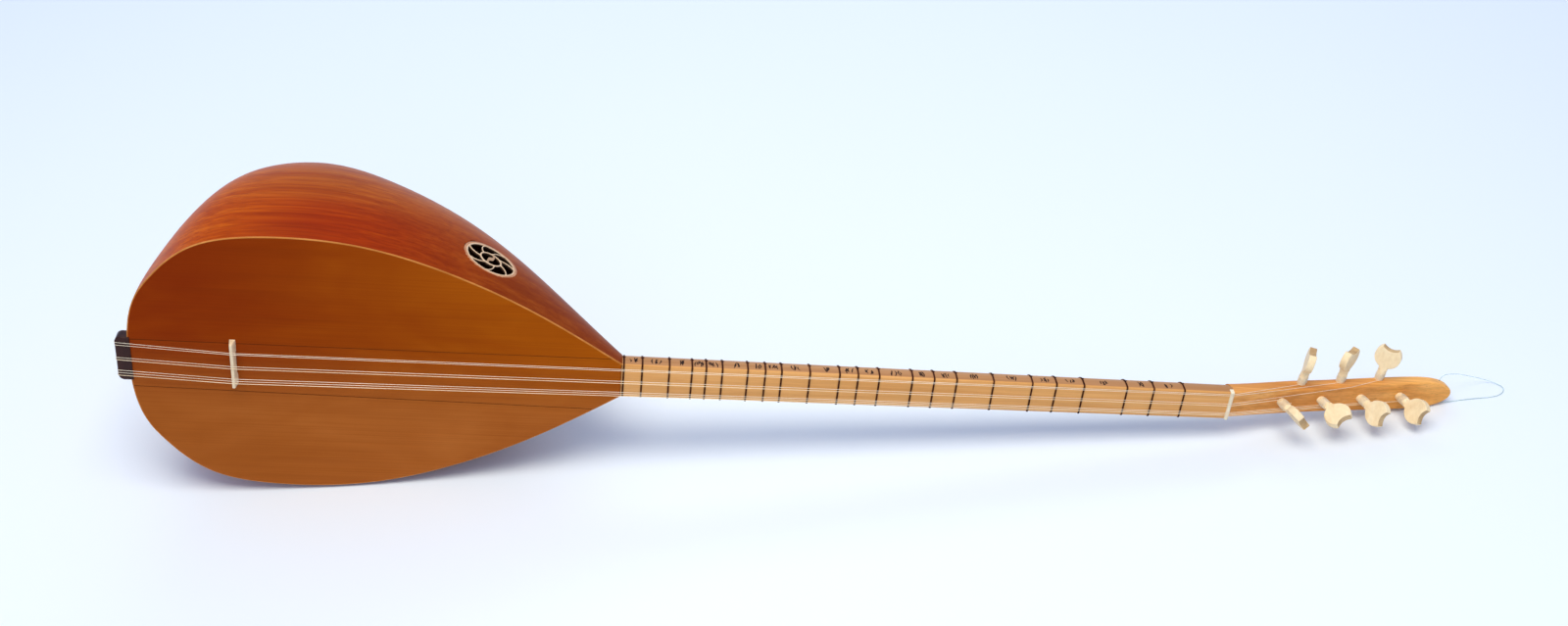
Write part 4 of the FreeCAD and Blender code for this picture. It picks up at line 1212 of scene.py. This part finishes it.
def make_bridge():
    material = maple("bridge_maple", figure=(90, 90, 14), fibre=(700, 700, 60),
                     base=[(0.3, (0.68, 0.50, 0.29)), (0.7, (0.86, 0.70, 0.46))],
                     streaks=[(0.3, (0.42, 0.28, 0.14)), (0.7, (1.0, 0.88, 0.64))],
                     share=0.2, rough=(0.45, 0.6), specular=0.3)
    grooves = [string[1] for string in STRINGS]
    rows = []
    count = 300
    z0 = BRIDGE_CENTRE_Z - BRIDGE_LENGTH / 2
    for k in range(count + 1):
        z = z0 + BRIDGE_LENGTH * k / count
        from_end = min(z - z0, z0 + BRIDGE_LENGTH - z)
        ease = 0.5 * max(0.0, 1 - from_end / 0.5)
        crest = -(BRIDGE_HEIGHT + BRIDGE_GAP) + ease + dips(z, grooves, 0.44, 0.62)
        lift = 1.5 * smooth((from_end - 10.4) / 1.6)
        base_y = -BRIDGE_GAP - lift
        foot, top = BRIDGE_FOOT / 2 - ease * 0.5, BRIDGE_CREST / 2 - ease * 0.5
        foot = blend(foot, top, lift / BRIDGE_HEIGHT)
        waist, waist_y = blend(foot, top, 0.5), blend(base_y, crest, 0.52)
        row = [(foot, base_y), (foot, base_y - 0.6), (waist, waist_y),
               (top, crest + 0.5), (top - 0.35, crest + 0.15), (top - 0.9, crest), (-top + 0.9, crest),
               (-top + 0.35, crest + 0.15), (-top, crest + 0.5), (-waist, waist_y),
               (-foot, base_y - 0.6), (-foot, base_y)]
        rows.append([(BRIDGE_X + x, y, z) for x, y in row])
    make_piece("bridge_bar", [solid(rows)], material, nodes=["bridge"], body="bridge_body",
               sharp=50)


def make_tailpiece():
    material = wood("rosewood", ((0.022, 0.008, 0.007), (0.050, 0.016, 0.012), (0.095, 0.032, 0.020)),
                    figure=(30.0, 60.0, 7.0), fibre=(300.0, 400.0, 25.0), roughness=0.36,
                    specular=0.15, pores=0.3)
    x_out = -BOWL_LENGTH - TAILPIECE_OUT
    x_in = -BOWL_LENGTH + TAILPIECE_IN
    half = TAILPIECE_LENGTH / 2
    corner = TAILPIECE_CORNER
    outline = [(x_in, half)]
    for sign in (1, -1):
        turns = range(13) if sign == 1 else range(12, -1, -1)
        for k in turns:
            a = math.pi / 2 * k / 12
            outline.append((x_out + corner * (1 - math.sin(a)),
                            sign * (half - corner * (1 - math.cos(a)))))
    outline.append((x_in, -half))
    low, high = -TAILPIECE_PROUD, TAILPIECE_DEPTH - TAILPIECE_PROUD
    rows = []
    for inset, y in ((1.3, low), (0.75, low + 0.08), (0.3, low + 0.4), (0.05, low + 1.0),
                     (0.0, low + 1.6), (0.0, high - 1.2), (0.3, high - 0.4), (1.0, high)):
        row = []
        for x, z in outline:
            toward_x = inset if x < x_out + corner + 0.01 else 0.0
            row.append((x + toward_x * min(1.0, (x_out + corner + 2 - x) / (corner + 2)),
                        y, TAILPIECE_CENTRE_Z + z * (1 - inset / half)))
        rows.append(row)
    make_piece("tail_block_outer", [solid(rows)], material, nodes=["tailpiece"],
               sharp=45)


make_nut()
make_bridge()
make_tailpiece()

# ---- strings

WINDING_BASE = {"front": 2.4, "side": 2.0}
WINDING_PITCH = 0.78
WINDING_TURNS = {"front": 9, "side": 7}


def string_material(name, low, high, thread):
    s = Shader(name, Metallic=0.25)
    tone = s.two_tone((20, 400, 400), low, high)
    s.rough(tone, 0.32, 0.46)
    if thread:
        wave = s.node("TexWave", {"Scale": 600.0}, wave_type="BANDS", bands_direction="X")
        s.join(s.place((1, 1, 1)), wave.inputs["Vector"])
        s.bump(wave.outputs["Fac"], 0.4, 0.00005)
    return s.material


plain_steel = string_material("plain_string", (0.78, 0.66, 0.48), (0.95, 0.86, 0.68), False)
wound_bronze = string_material("wound_string", (0.76, 0.58, 0.36), (0.94, 0.78, 0.54), True)


def winding_base(name):
    return WINDING_BASE[name.split("_")[0]]


def bend(path_points, radius, steps=5):
    """Corner points joined by straight runs, each corner rounded over steps."""
    made = [Vector(path_points[0])]
    for k in range(1, len(path_points) - 1):
        before, corner, after = (Vector(path_points[j]) for j in (k - 1, k, k + 1))
        reach = min(radius, 0.4 * (corner - before).length, 0.4 * (after - corner).length)
        start = corner + (before - corner).normalized() * reach
        end = corner + (after - corner).normalized() * reach
        for j in range(steps + 1):
            t = j / steps
            made.append(start.lerp(corner, t).lerp(corner.lerp(end, t), t))
    made.append(Vector(path_points[-1]))
    return made


def edge_rest(start, end, r):
    """Where a string to a side peg bends over the head's upper front edge."""
    a, b = head_inverse @ start, head_inverse @ end
    edge = (head_half_width((a.x + b.x) / 2) + 0.1) * (1.0 if b.y > 0 else -1.0)
    share = (edge - a.y) / (b.y - a.y)
    clear = r + 0.15 - HEAD_FRONT_ROUND * 0.3
    return head_frame @ Vector((a.x + (b.x - a.x) * share, edge, clear))


def make_strings():
    for k, (tail_z, bridge_z, nut_z, peg, diameter) in enumerate(STRINGS):
        r = diameter / 2
        material = wound_bronze if diameter > 0.4 else plain_steel
        beyond = -BOWL_LENGTH - TAILPIECE_OUT - r - 0.06
        points = [
            Vector((beyond, TAILPIECE_DEPTH * 0.62, tail_z)),
            Vector((beyond, -TAILPIECE_PROUD - r - 0.06, tail_z)),
            Vector((BRIDGE_X, -BRIDGE_HEIGHT - BRIDGE_GAP - r + 0.2, bridge_z)),
            Vector((NECK_LENGTH + NUT_CREST_X, -NUT_HEIGHT - r + 0.22, nut_z)),
        ]
        place = peg_frames[peg]
        axis = place.to_3x3() @ Vector((0, 0, 1))
        hub = place.translation + axis * winding_base(peg)
        approach = hub - points[-1]
        approach = (approach - axis * approach.dot(axis)).normalized()
        beside = axis.cross(approach)
        upper = beside.z > 0 if peg.startswith("front") else beside.y < 0
        if upper != (peg == "front_1" or peg.startswith("side")):
            beside = -beside
        end = hub + beside * (PEG_RADIUS + r + 0.03)
        if peg in ("side_2", "side_3"):
            points.append(edge_rest(points[-1], hub + beside * (PEG_RADIUS + 0.36 + r), r))
        points.append(end)
        make_piece("string_line_%d" % (k + 1), [tube(bend(points, 1.5), r, sides=8)], material,
                   nodes=["string_%d" % (k + 1)])
        make_winding(peg, r, place, place.inverted() @ end, material, k)


def make_winding(peg, r, place, start, material, number):
    """The string wound round its peg, and its cut end standing off the last turn."""
    turns = WINDING_TURNS[peg.split("_")[0]]
    radius = PEG_RADIUS + r + 0.02
    first = math.atan2(start.y, start.x)
    sign = 1.0 if peg != "front_1" and not peg.startswith("side") else -1.0
    dice = random.Random(100 + number)
    path = []
    steps = 28
    for k in range(turns * steps + 1):
        a = first + sign * 2 * math.pi * k / steps
        rise = WINDING_PITCH * k / steps
        wobble = 0.06 * math.sin(a * 0.37 + number)
        height = start.z + rise + wobble
        path.append(place @ Vector((radius * math.cos(a), radius * math.sin(a), height)))
    a_end = first + sign * 2 * math.pi * turns
    outward = Vector((math.cos(a_end), math.sin(a_end), 0))
    last = place.inverted() @ path[-1]
    tangent = Vector((-math.sin(a_end), math.cos(a_end), 0)) * sign
    lift = dice.uniform(0.6, 1.1)
    for t in (0.8, 1.7, 2.6):
        rise = Vector((0, 0, lift * t * 0.3))
        path.append(place @ (last + tangent * t + outward * (0.12 * t * t) + rise))
    make_piece("winding_turns_" + peg, [tube(path, r, sides=7)], material, nodes=["winding_" + peg],
               body="peg_%s_body" % peg)


make_strings()

# ---- inner blocks and braces

inner_wood = wood("inner_wood", ((0.44, 0.27, 0.13), (0.60, 0.40, 0.21), (0.72, 0.52, 0.30)),
                  figure=(3.0, 80.0, 60.0), fibre=(12.0, 500.0, 500.0), roughness=0.6, fibre_depth=0.3)
for inner in ("soundboard_braces", "neck_block", "tail_block"):
    node = frame["nodes"][inner]
    node.data.materials.clear()
    node.data.materials.append(inner_wood)

# ---- stage and light

FLOOR_SIZE = 14.0


def make_floor():
    mesh = bpy.data.meshes.new("floor")
    half = FLOOR_SIZE / 2
    corners = [(-half, -half, 0), (half, -half, 0), (half, half, 0), (-half, half, 0)]
    mesh.from_pydata(corners, [], [(0, 1, 2, 3)])
    floor = add_object("floor", mesh)
    s = Shader("floor", Specular_IOR_Level=0.15, Roughness=0.7)
    s.two_tone((0.7, 0.7, 0.7), (0.765, 0.822, 0.880), (0.780, 0.836, 0.890))
    mesh.materials.append(s.material)


def make_light(name, place, target, size, energy, colour):
    data = bpy.data.lights.new(name, "AREA")
    data.shape = "RECTANGLE"
    data.size, data.size_y = size
    data.energy = energy
    data.color = colour
    light = add_object(name, data)
    light.location = place
    light.rotation_mode = "QUATERNION"
    light.rotation_quaternion = (Vector(target) - Vector(place)).to_track_quat("-Z", "Y")


def make_world():
    world = bpy.data.worlds.new("world")
    bpy.context.scene.world = world
    world.use_nodes = True
    background = world.node_tree.nodes["Background"]
    background.inputs["Color"].default_value = (0.54, 0.67, 1.0, 1.0)
    background.inputs["Strength"].default_value = 0.66


make_floor()
make_world()
make_light("overhead", (-0.20, -0.80, 2.6), (0.05, 0.0, 0.0), (2.0, 1.3), 62.0, (1.0, 0.94, 0.80))
make_light("front", (-0.3, -2.6, 1.5), (0.0, 0.0, 0.1), (2.4, 1.4), 9.0, (1.0, 0.94, 0.80))
make_light("back", (0.2, 2.2, 2.2), (0.2, 1.7, 0.0), (3.4, 1.0), 21.0, (0.84, 0.93, 1.0))
bpy.context.scene.view_settings.view_transform = "Standard"
